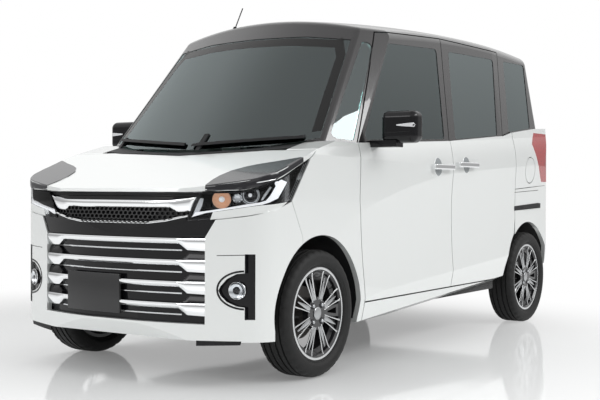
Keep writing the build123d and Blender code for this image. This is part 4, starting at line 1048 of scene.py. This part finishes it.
# %% [markdown]
# Above the lens the lamp's smoked top sweeps back over the corner of the bonnet to a point. It is
# a thin cover over the bonnet's corner and moves with it. Three lines describe it: its lower edge,
# the ridge where the side turns into the top, and its upper edge. Rows of points between them are
# brought to the nearest place on the bonnet, which gives a clean grid where rays would graze.

# %% Smoked tops of the headlamps: the shape
bonnet_skin = skin_of("bonnet")
lower_edge = [(0.468, -0.486, 0.8205), (0.530, -0.464, 0.8222), (0.600, -0.438, 0.8245),
              (0.657, -0.412, 0.8335), (0.697, -0.378, 0.8475), (0.715, -0.335, 0.8655),
              (0.722, -0.270, 0.8925), (0.7245, -0.200, 0.9215), (0.726, -0.150, 0.9425)]
ridge = [(x, y, 0.8300 + (y + 0.517) * 0.364) for x, y, z in lower_edge]
upper_edge = [(0.464, -0.478, 0.837), (0.458, -0.450, 0.8545), (0.452, -0.417, 0.866),
              (0.452, -0.368, 0.884), (0.469, -0.307, 0.906), (0.517, -0.254, 0.926),
              (0.563, -0.226, 0.936), (0.640, -0.190, 0.949), (0.715, -0.150, 0.963)]
bonnet_middle = Vector((0.48, front_axle - 0.25, 0))
rise_steps, top_steps = 5, 14  # from the lower edge to the ridge, and on to the upper edge


def finer(line, count):
    """The same line with each stretch cut into count steps."""
    return [tuple(a + (b - a) * k / count for a, b in zip(start, end))
            for start, end in zip(line, line[1:]) for k in range(count)] + [line[-1]]


def lamp_cover(lift):
    """The cover's grid of points at a height above the bonnet."""
    rows = []
    for ends in zip(finer(lower_edge, 6), finer(ridge, 6), finer(upper_edge, 6)):
        low, bend, high = (Vector((x, y + front_axle, z)) for x, y, z in ends)
        outward = bend - bonnet_middle
        outward.z = 0
        outward.normalize()
        low = low - Vector((0, 0, 0.002))
        row = [low.lerp(bend, k / rise_steps) for k in range(rise_steps)]
        row += [bend.lerp(high, (k / top_steps) ** 1.5) for k in range(top_steps + 1)]
        for k, place in enumerate(row):
            near, normal, _, _ = bonnet_skin.find_nearest(place)
            if k <= rise_steps:
                hit, hit_normal, _, _ = bonnet_skin.ray_cast(place + outward * 0.05, -outward)
                near, normal = (hit, hit_normal) if hit else (near, outward)
            if normal.dot(outward + Vector((0, 0, 0.5))) < 0:
                normal = -normal
            row[k] = near + normal * lift
        rows.append(row)
    return rows


def grid_shell(outer, inner):
    """Points and faces of a thin closed shell between two grids of points."""
    wide = len(outer[0])
    points = [place for row in outer + inner for place in row]
    half = len(outer) * wide
    faces = []
    for j in range(len(outer) - 1):
        for k in range(wide - 1):
            a, b = j * wide + k, (j + 1) * wide + k
            faces += [[a, b, b + 1, a + 1], [half + a + 1, half + b + 1, half + b, half + a]]
        a, b = j * wide, (j + 1) * wide
        faces.append([a, half + a, half + b, b])
        a, b = a + wide - 1, b + wide - 1
        faces.append([b, half + b, half + a, a])
    for k in range(wide - 1):
        a, b = k, (len(outer) - 1) * wide + k
        faces += [[a + 1, half + a + 1, half + a, a], [b, half + b, half + b + 1, b + 1]]
    return points, faces


print("lamp tops:", len(lower_edge), "stations along each edge")

# %% [markdown]
# The cover gets its polished smoked finish, and a thin chrome line is laid along its side, a
# little above its lower edge. The line is a bent bar, and both ride on the bonnet.

# %% Smoked tops of the headlamps: cover and chrome line
piece("lamp_tops", *grid_shell(lamp_cover(0.0028), lamp_cover(-0.002)), smoked_black, "bonnet",
      "gloss_black", "same")
line_climbs = (0.005, 0.013, 0.018, 0.019, 0.014, 0.004)  # above the lower edge, front to back
line_proud = 0.002
for side, name in ((1, "left"), (-1, "right")):
    line = []
    for (x, y, z), climb in zip(lower_edge, line_climbs):
        outward = Vector((x - 0.48, y + 0.25, 0)).normalized()
        line.append((side * (x + outward.x * line_proud),
                     y + front_axle + outward.y * line_proud, z + climb))
    wire("lamp_top_line_" + name, line, 0.0028, bright_chrome, "bonnet")
print("lamp tops laid on the bonnet's corners")

# %% [markdown]
# The fog lamp is a round reflector under a clear dome, set in its black D-shaped bezel. The CAD
# has the lamp's drum; a lathe gives the bowl, the shield in its middle and the dome over it. A
# fine rim follows the round side of the bezel, and a lining blackens the edge of the opening.

# %% Fog lamps
fog_centre = (0.600, -1.583, 0.409)
fog_facing = (0.32, -0.947, 0)
bumper_skin = skin_of("front_bumper")
for part_name, profile, material, slot, count in (
        ("fog_bowls", [(-0.012, 0.036), (0.003, 0.0375), (0.0045, 0.0365), (0.0035, 0.0345),
                       (-0.001, 0.027), (-0.0035, 0.014), (-0.0035, 0.0004)], bright_chrome,
         "chrome", 48),
        ("fog_shields", [(-0.0035, 0.0095), (0.0035, 0.0090), (0.0050, 0.0070), (0.0052, 0.0004)],
         smoked_black, "gloss_black", 24),
        ("fog_domes", [(0.0030, 0.0360), (0.0060, 0.0340), (0.0085, 0.022), (0.0100, 0.0100),
                       (0.0104, 0.0004)], lens_glass, "lens", 40)):
    piece(part_name, *turned(profile, fog_centre, fog_facing, count), material, "body", slot,
          "same")
bezel_centre, bezel_half = (0.632, 0.411), (0.1125, 0.0785)
d_shape = [(bezel_centre[0] + bezel_half[0] * math.cos(math.radians(turn)),
            bezel_centre[1] + bezel_half[1] * math.sin(math.radians(turn)))
           for turn in range(92, 269, 8)]
strip("fog_bezel_rims", d_shape, 0.008, "front", bumper_skin, piano_black, "body", "gloss_black",
      "same", proud=0.0006, crown=0.0015, step=0.008)
fog_edge = finer([(0.632, 0.560), (0.632, 0.482), (0.600, 0.478), (0.560, 0.456), (0.534, 0.425),
                  (0.526, 0.408), (0.534, 0.388), (0.560, 0.362), (0.600, 0.344), (0.632, 0.340),
                  (0.632, 0.289)], 3)
lining_thick, lining_deep = 0.0024, 0.0240
points, faces = [], []
for x, z in fog_edge:
    edge_place = on_skin("front", bumper_skin, x - lining_thick / 2, z, 0.0008)
    for across, along in ((0, 0), (0, lining_deep), (lining_thick, lining_deep),
                          (lining_thick, 0)):
        points.append(edge_place + Vector((across, along, 0)))
for k in range(len(fog_edge) - 1):
    faces += [[4 * k + j, 4 * k + (j + 1) % 4, 4 * k + 4 + (j + 1) % 4, 4 * k + 4 + j]
              for j in range(4)]
faces += [[3, 2, 1, 0], [len(points) - 4 + j for j in range(4)]]
piece("fog_bezel_linings", points, faces, piano_black, "body", "gloss_black", "same")
print("fog lamps with bezel rims and linings")

# %% [markdown]
# A blank black plate hangs on the bars, to the right of the middle, and follows the curve of the
# nose, so it is swept like the bars. A dark line over each fog lamp's bezel is painted shade in a
# crease of the bumper. The black strakes under the corners of the bumper are thin plates on its
# skin.

# %% Blank number plate, painted shade of creases and strakes of the front bumper
plate_black = finish("blank_plate_black", (0.022, 0.022, 0.023), 0.34, grain=500, depth=0.0002)
plate_right, plate_left = -0.292, 0.045
plate_foot, plate_head = 0.289, 0.459
plate_section = [(1, 0.012), (1, 0.0016), (0.985, 0.0004), (0.015, 0.0004), (0, 0.0016),
                 (0, 0.012)]
plate = nose_bar([(plate_right, plate_foot), (plate_left, plate_foot)],
                 [(plate_right, plate_head), (plate_left, plate_head)], plate_section)
piece("number_plate_blank", *plate, plate_black, "body", "gloss_black", bevel=0.001)
# Painted shade: a thin black line stands for the shade in a crease of the white bumper.
strip("bumper_crease_shade_lines", [(0.517, 0.5525), (0.631, 0.5565)], 0.0030, "front", bumper_skin,
      piano_black, "body", "gloss_black", "same", proud=0.0004, crown=0.0003, step=0.01)
patch("bumper_strakes", [(0.430, 0.174), (0.612, 0.184), (0.618, 0.200), (0.430, 0.196)], "front",
      bumper_skin, moulded_black, "body", "black_plastic", "same", proud=0.0005, deep=0.004,
      step=0.03)
print("front bumper: blank plate, creases and strakes")

# %% [markdown]
# Along the side, the grips stand over round finger cups, and the sliding door's rail hides in a
# black slot with a painted lip and a seam above it. The cups are thin plates painted a darker grey
# as the shade of a hollow; cutting real hollows would change the CAD panels, which stay as they
# are.

# %% Handle cups, rail slots and seams of the sides
side_skin = skin_of("front_door_panel_left", "sliding_door_panels", "quarter_panels",
                    "front_wings", "side_sills")
# Painted shade: the cups are body-coloured, but are painted a darker grey as the shade in a
# hollow.
cup_painted_shade = finish("handle_cup_painted_shade", (0.26, 0.28, 0.29), 0.30, coat=0.6, grain=800,
                  depth=0.0001, drift=0.20)
rim_margin = 0.0015  # by which a cup's painted rim lies outside the cup


def oval(u, v, half_u, half_v, count=28):
    """The outline of an oval."""
    return [(u + half_u * math.cos(2 * math.pi * k / count),
             v + half_v * math.sin(2 * math.pi * k / count)) for k in range(count)]


for cup_name, rim_name, centre, half, body, twin in (
        ("handle_cup_left", "handle_rim_left", (1.133, 0.948), (0.043, 0.047), "front_door_left",
         "front_door_right"),
        ("sliding_handle_cups", "sliding_handle_rims", (1.484, 0.965), (0.042, 0.044), "body",
         "same")):
    patch(cup_name, oval(*centre, *half), "side", side_skin, cup_painted_shade, body, "body_white", twin,
          proud=0.0008, deep=0.003, step=0.012)
    ring = oval(*centre, half[0] + rim_margin, half[1] + rim_margin)
    strip(rim_name, ring + ring[:1], 0.0024, "side", side_skin, pearl_white, body, "body_white",
          twin, proud=0.0004, crown=0.0012, step=0.008)
patch("rail_slots", [(2.207, 0.700), (2.640, 0.712), (2.640, 0.742), (2.600, 0.744),
                     (2.207, 0.728)], "side", side_skin, moulded_black, "body", "black_plastic",
      "same", proud=0.0006, deep=0.003, step=0.03, bevel=0.0003)
strip("rail_slot_lips", [(2.207, 0.698), (2.640, 0.710)], 0.0045, "side", side_skin, pearl_white,
      "body", "body_white", "same", proud=0.0006, crown=0.0030)
strip("rail_cover_seams", [(2.206, 0.812), (2.60, 0.826)], 0.0028, "side", side_skin, piano_black,
      "body", "gloss_black", "same", proud=0.0003, crown=0.0002)
print("side: cups, rail slots and seams")

# %% [markdown]
# A door mirror has a turn lamp on the front of its housing, a seam round it, and a silvered glass
# behind. The turn lamp is off, but its clear lens has a faint painted glow. All three are laid on
# the CAD housing by rays along the car, and move with the doors.

# %% Mirrors, their lamps and glass
mirror_skin = skin_of("door_mirror_left")
# Painted glow: the unlit indicator's lens is given a faint emission.
indicator_painted_glow = finish("clear_indicator_painted_glow", (0.72, 0.73, 0.75), 0.12, metallic=0.4, coat=1.0,
                    grain=1200, depth=0.0002, glow=0.10)
mirror_glass = finish("mirror_silver", (0.80, 0.81, 0.82), 0.03, metallic=1.0, spread=0.01)


def rounded(u0, v0, u1, v1, radius, steps=5):
    """The outline of a rounded rectangle."""
    corners = [(u1 - radius, v1 - radius, 0), (u0 + radius, v1 - radius, 90),
               (u0 + radius, v0 + radius, 180), (u1 - radius, v0 + radius, 270)]
    return [(u + radius * math.cos(math.radians(turn + 90 * k / steps)),
             v + radius * math.sin(math.radians(turn + 90 * k / steps)))
            for u, v, turn in corners for k in range(steps + 1)]


patch("mirror_lamp_left", [(0.862, 1.127), (0.905, 1.122), (0.950, 1.119), (0.954, 1.130),
                           (0.948, 1.139), (0.905, 1.136), (0.862, 1.132)], "front", mirror_skin,
      indicator_painted_glow, "front_door_left", "lens", "front_door_right", proud=0.0010, deep=0.004,
      step=0.012, bevel=0.0004)
patch("mirror_glass_left", rounded(0.794, 1.064, 0.944, 1.182, 0.028), "back", mirror_skin,
      mirror_glass, "front_door_left", "lens", "front_door_right", proud=0.0008, deep=0.004,
      step=0.03, bevel=0.0004)
strip("mirror_seam_left", [(0.778, 1.098), (0.860, 1.096), (0.950, 1.100)], 0.0022, "front",
      mirror_skin, moulded_black, "front_door_left", "black_plastic", "front_door_right",
      proud=0.0003, crown=0.0002)
print("mirrors: lamps, glass and seams")

# %% [markdown]
# A car seat is foam under sewn cloth: it is crowned, its edges are round, and its seams sink in.
# Each pad starts as a block a little smaller than its space, is remeshed evenly, and is blown up
# by a cloth simulation, which pulls the corners in as real covers do. Pads could be sculpted too,
# but then each one would be its own work; here one rule shapes them all.

# %% Helpers that blow up a pad
pad_pressure = 4
pad_frames = 20


def evaluated(made):
    """The mesh of an object with its modifiers applied."""
    bpy.context.view_layer.update()
    graph = bpy.context.evaluated_depsgraph_get()
    mesh = bpy.data.meshes.new_from_object(made.evaluated_get(graph))
    made.modifiers.clear()
    made.data = mesh
    return mesh


def swell(made, cap):
    """Blows a pad up under pressure, each point by no more than cap."""
    before = [vertex.co.copy() for vertex in made.data.vertices]
    cloth = made.modifiers.new("cover", "CLOTH")
    cloth.settings.use_pressure = True
    cloth.settings.uniform_pressure_force = pad_pressure
    cloth.settings.effector_weights.gravity = 0
    cloth.settings.quality = 5
    scene.frame_set(1)
    for frame_number in range(1, pad_frames + 1):
        scene.frame_set(frame_number)
    mesh = evaluated(made)
    for vertex, start in zip(mesh.vertices, before):
        way = vertex.co - start
        if way.length > cap:
            vertex.co = start + way * (cap / way.length)
    scene.frame_set(1)


print("pads are blown up over", pad_frames, "frames")

# %% [markdown]
# After that the sewn channels are pressed in along straight lines across the pad, each as a
# smooth dip of one width. The right-hand pad is the left one's mirror, which saves half of the
# simulation.

# %% A pad: block, remesh, cloth simulation, sewn channels
channel_width, channel_depth = 0.007, 0.007
corner_room = 1.35  # corners are drawn in by this many times shrink, as they lie further out
swell_room = 0.004  # how far past its space a pad may bulge


def pad_block(outline, x_mid, width, shrink):
    """Points and faces of a block, shrunk on all sides, between two side outlines."""
    middle_y = sum(p[0] for p in outline) / len(outline)
    middle_z = sum(p[1] for p in outline) / len(outline)
    ring = []
    for y, z in outline:
        share = 1 - shrink * corner_room / math.hypot(y - middle_y, z - middle_z)
        ring.append((middle_y + (y - middle_y) * share + front_axle,
                     middle_z + (z - middle_z) * share))
    n = len(ring)
    half = width / 2 - shrink
    points = [(x_mid + side * half, y, z) for side in (-1, 1) for y, z in ring]
    faces = [list(range(n)), [n + k for k in reversed(range(n))]]
    faces += [[k, n + k, n + (k + 1) % n, (k + 1) % n] for k in range(n)]
    return points, faces


def sew(mesh, x_mid, seams):
    """Presses channels into a pad; a seam is an axis and a place on it (x: from x_mid)."""
    normals = [vertex.normal.copy() for vertex in mesh.vertices]
    for vertex, normal in zip(mesh.vertices, normals):
        place = {"x": abs(vertex.co.x - x_mid), "y": vertex.co.y - front_axle, "z": vertex.co.z}
        sink = max(math.exp(-((place[axis] - at) / channel_width) ** 2) for axis, at in seams)
        vertex.co -= normal * sink * channel_depth


def pad(name, outline, x_mid, width, seams, node, voxel=0.012, shrink=0.020, radius=0.035):
    """A seat pad from its side outline of (distance behind axle, z) points, and its twin."""
    made = piece(name, *pad_block(outline, x_mid, width, shrink), seat_cloth, "body", "seat_cloth")
    bm = bmesh.new()
    bm.from_mesh(made.data)
    bmesh.ops.recalc_face_normals(bm, faces=bm.faces)
    bm.to_mesh(made.data)
    bm.free()
    edge = made.modifiers.new("edge", "BEVEL")
    edge.width, edge.segments = radius, 4
    grid = made.modifiers.new("grid", "REMESH")
    grid.mode, grid.voxel_size = "VOXEL", voxel
    evaluated(made)
    swell(made, shrink + swell_room)
    halved = made.modifiers.new("halved", "SUBSURF")
    halved.levels = halved.render_levels = 1
    mesh = evaluated(made)
    sew(mesh, x_mid, seams)
    for polygon in mesh.polygons:
        polygon.use_smooth = True
    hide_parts(node)
    twin = bpy.data.objects.new(name.replace("left", "right"), mesh.copy())
    twin.data.transform(Matrix.Scale(-1, 4, (1, 0, 0)))
    twin.data.flip_normals()
    mount(twin, "body")
    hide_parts(node)
    print(name, "and twin:", len(mesh.polygons), "faces each")


print("helper ready: pad")

# %% [markdown]
# Front and rear seats have a cushion, a back and a head pad on each side. Each is given by its
# outline from the side, its middle and width, and the places of its seams: a pair along the pad
# and up to two across it. The pads stand for the CAD model's plain seats.

# %% The pads of the seats
front_x, rear_x = 0.318, 0.255
pad("front_cushion_left", [(0.770, 0.545), (0.765, 0.640), (0.800, 0.672), (1.000, 0.655),
                           (1.225, 0.648), (1.225, 0.545)], front_x, 0.500,
    [("x", 0.150), ("y", 0.900), ("y", 1.060)], "front_seats")
pad("front_back_left", [(1.226, 0.580), (1.336, 0.580), (1.470, 1.235), (1.440, 1.248),
                        (1.385, 1.245)], front_x, 0.480,
    [("x", 0.135), ("z", 0.860), ("z", 1.060)], "front_seats")
pad("front_head_left", [(1.392, 1.265), (1.472, 1.255), (1.500, 1.418), (1.420, 1.428)], front_x,
    0.260, [("x", 0.100)], "front_seats", voxel=0.009, shrink=0.012, radius=0.030)
pad("rear_cushion_left", [(1.890, 0.562), (1.888, 0.660), (1.920, 0.682), (2.300, 0.658),
                          (2.300, 0.562)], rear_x, 0.496,
    [("x", 0.150), ("y", 2.080)], "rear_seat")
pad("rear_back_left", [(2.301, 0.562), (2.400, 0.562), (2.490, 1.178), (2.400, 1.188)], rear_x,
    0.488, [("x", 0.140), ("z", 0.900)], "rear_seat")
pad("rear_head_left", [(2.410, 1.202), (2.484, 1.192), (2.500, 1.328), (2.436, 1.338)], rear_x,
    0.230, [("x", 0.090)], "rear_seat", voxel=0.009, shrink=0.010, radius=0.026)

# %% [markdown]
# Head restraints stand on two plated posts that go into the seat backs. They are round bars
# along short lines, as bent posts would be too.

# %% Posts of the head restraints
post_half_gap = 0.055
post_radius = 0.006
for name, x_mid, foot, head in (("front", front_x, (1.425, 1.215), (1.440, 1.300)),
                                ("rear", rear_x, (2.440, 1.150), (2.452, 1.240))):
    between = ((foot[0] + head[0]) / 2, (foot[1] + head[1]) / 2)
    for side, side_name in ((1, "left"), (-1, "right")):
        for post, post_name in ((1, "out"), (-1, "in")):
            x = side * x_mid + post * post_half_gap
            wire("%s_post_%s_%s" % (name, side_name, post_name),
                 [(x, y + front_axle, z) for y, z in (foot, between, head)], post_radius,
                 bright_chrome, "body")
print("posts on eight places")

# %% [markdown]
# The windscreen is bonded over a black border that hides the glue, with an inside mirror on a
# stalk at its top. The border is three strips on the glass; a texture mask would need a map of the
# glass. The inside mirror is a rounded shell with a bright face towards the seats.

# %% Windscreen border
screen_skin = skin_of("windscreen")
border_black = finish("glass_border_black", (0.006, 0.006, 0.006), 0.25, coat=0.3, specular=0.3)


def last_hit(skin, start, step):
    """The last point of a walk in the front view that still has the skin behind it."""
    place = Vector(start)
    while skin.ray_cast(Vector((place.x, -4, place.y)), Vector((0, 1, 0)))[0] is not None:
        place += Vector(step)
    return place - Vector(step)


side_edge = [last_hit(screen_skin, (0.3, z), (0.002, 0))
             for z in (1.095, 1.14, 1.24, 1.36, 1.48, 1.57)]
strip("screen_border_sides", [(p.x - 0.024, p.y) for p in side_edge], 0.040, "front", screen_skin,
      border_black, "body", "gloss_black", "same", proud=0.0004, crown=0.0004, step=0.03)
top_edge = [last_hit(screen_skin, (x, 1.4), (0, 0.002)) for x in (-0.48, -0.24, 0, 0.24, 0.48)]
strip("screen_border_top", [(p.x, p.y - 0.026) for p in top_edge], 0.042, "front", screen_skin,
      border_black, "body", "gloss_black", proud=0.0004, crown=0.0004, step=0.03)
print("windscreen border: two sides and a top")

# %% [markdown]
# The inside mirror's shell and glass are turned round and then stretched sideways, which rounds
# their ends evenly. A short bent stalk holds them under the roof.

# %% Inside mirror
mirror_y, mirror_z = front_axle + 0.70, 1.500
mirror_wide, mirror_high = 2.9, 0.85  # how far the round shapes are stretched
for part_name, profile, material, slot in (
        ("inside_mirror", [(-0.030, 0.010), (-0.028, 0.030), (-0.010, 0.040), (0.004, 0.041),
                           (0.008, 0.038)], moulded_black, "black_plastic"),
        ("inside_mirror_glass", [(0.0082, 0.0362), (0.0090, 0.0350), (0.0092, 0.0004)],
         mirror_glass, "lens")):
    points, faces = turned(profile, (0, mirror_y, 0), (0, 1, 0), 40)
    points = [Vector((p.x * mirror_wide, p.y, p.z * mirror_high + mirror_z)) for p in points]
    piece(part_name, points, faces, material, "body", slot)
wire("inside_mirror_stalk", [(0, mirror_y - 0.020, 1.515), (0, mirror_y - 0.045, 1.545),
                             (0, mirror_y - 0.030, 1.580)], 0.008, moulded_black, "body")
print("inside mirror and its stalk")

# %% [markdown]
# The dashboard of such a car is a tall black moulding. Over the dials there is a hood, a screen
# stands in the middle over the heater panel, and vents and the glove box flank them. They are
# seen only through glass or an open door, so they are plain plates and one rounded block.

# %% Dashboard pieces
screen_black = finish("display_black", (0.008, 0.009, 0.010), 0.10, coat=0.6, spread=0.02)
dash_skin = skin_of("dashboard")
for part_name, x0, x1, z0, z1, material in (
        ("centre_display", -0.105, 0.105, 0.815, 0.945, screen_black),
        ("heater_panel", -0.095, 0.095, 0.705, 0.790, piano_black),
        ("glove_lid", 0.190, 0.560, 0.690, 0.830, cabin_plastic)):
    patch(part_name, rounded(x0, z0, x1, z1, 0.014), "back", dash_skin, material, "body",
          "cabin_plastic", proud=0.0050, deep=0.007, step=0.03, bevel=0.002)
vent_wide = 0.062
for part_name, x0 in (("centre_vent_left", 0.125), ("centre_vent_right", -0.190),
                      ("end_vent_left", 0.545), ("end_vent_right", -0.600)):
    patch(part_name, rounded(x0, 0.860, x0 + vent_wide, 0.935, 0.014), "back", dash_skin,
          piano_black, "body", "gloss_black", proud=0.0040, deep=0.006, step=0.02, bevel=0.001)
x0, x1 = -0.470, -0.170
y0, y1 = front_axle + 0.340, front_axle + 0.480
z0, z1 = 0.985, 1.050
pinch = 0.012  # by which the hood is drawn in at its top
hood = piece("dial_hood", [
    (x0, y0, z0), (x1, y0, z0), (x1, y1, z0), (x0, y1, z0),
    (x0 + pinch, y0 + pinch, z1), (x1 - pinch, y0 + pinch, z1),
    (x1 - pinch, y1 - pinch, z1), (x0 + pinch, y1 - pinch, z1)],
    [[3, 2, 1, 0], [4, 5, 6, 7], [0, 1, 5, 4], [1, 2, 6, 5], [2, 3, 7, 6], [3, 0, 4, 7]],
    cabin_plastic, "body", "cabin_plastic", bevel=0.018)
hood.modifiers["edge"].segments = 4
print("dashboard: display, heater panel, glove lid, vents and dial hood")

# %% [markdown]
# At the rear such a car commonly has stacked tail lamps with clear and amber chambers between red
# ribs, reflectors low in the bumper, a bright garnish over the plate, and on the tailgate's glass
# a wiper and a high stop lamp. All of it is laid on the panels that carry it, as thin plates and
# strips, and what sits on the tailgate rides on it.

# %% Rear: lamp chambers, ribs and reflectors
amber = finish("amber_lens", (0.75, 0.22, 0.02), 0.12, coat=1.0)
clear_white = finish("clear_lens_white", (0.72, 0.73, 0.74), 0.10, coat=1.0)
lamp_skin = skin_of("rear_lamps")
for part_name, z0, z1, material in (("tail_amber", 1.085, 1.130, amber),
                                    ("tail_clear", 1.020, 1.066, clear_white)):
    patch(part_name, rounded(0.632, z0, 0.694, z1, 0.008), "back", lamp_skin, material, "body",
          "red_lens", "same", proud=0.0008, deep=0.003, step=0.007)
for part_name, z in (("tail_rib_top", 1.140), ("tail_rib_mid", 1.075), ("tail_rib_low", 1.010)):
    strip(part_name, [(0.628, z), (0.700, z)], 0.004, "back", lamp_skin, tail_red, "body",
          "red_lens", "same", proud=0.0, crown=0.0006, step=0.01)
patch("tail_reflectors", rounded(0.560, 0.360, 0.680, 0.385, 0.008), "back",
      skin_of("rear_bumper"), tail_red, "body", "red_lens", "same", proud=0.0010, deep=0.003,
      step=0.007)
print("rear: lamp chambers, ribs and reflectors")

# %% [markdown]
# The garnish and the blank plate are laid on the tailgate's panel, the stop lamp and the wiper on
# its glass. The wiper's arm runs from a turned pivot over the blade, a little prouder than it.

# %% Rear: garnish, blank plate, high stop lamp and wiper
gate_skin = skin_of("tailgate_panel")
pane_skin = skin_of("tailgate_glass")
strip("tail_garnish", [(-0.36, 0.905), (0.36, 0.905)], 0.030, "back", gate_skin, bright_chrome,
      "tailgate", "chrome", proud=0.0, crown=0.0012, step=0.04)
patch("tail_plate_blank", rounded(-0.165, 0.700, 0.165, 0.865, 0.006), "back", gate_skin,
      plate_black, "tailgate", "gloss_black", proud=0.0012, deep=0.004, step=0.02)
patch("high_stop_lamp", rounded(-0.110, 1.535, 0.110, 1.551, 0.006), "back", pane_skin, tail_red,
      "tailgate", "red_lens", proud=0.0006, deep=0.002, step=0.03)
pivot = (0.06, 1.228)
strip("tail_wiper_blade", [(-0.40, 1.262), (0.02, 1.262)], 0.012, "back", pane_skin, moulded_black,
      "tailgate", "black_plastic", proud=0.004, crown=0.003, step=0.03)
strip("tail_wiper_arm", [pivot, (-0.02, 1.243), (-0.19, 1.264)], 0.016, "back", pane_skin,
      moulded_black, "tailgate", "black_plastic", proud=0.006, crown=0.003, step=0.03)
pivot_profile = [(-0.003, 0.020), (0.006, 0.019), (0.011, 0.014), (0.012, 0.0004)]
piece("tail_wiper_pivot",
      *turned(pivot_profile, on_skin("back", pane_skin, *pivot), (0, 1, 0), 24), moulded_black,
      "tailgate", "black_plastic")
print("rear: garnish, blank plate, stop lamp and wiper")
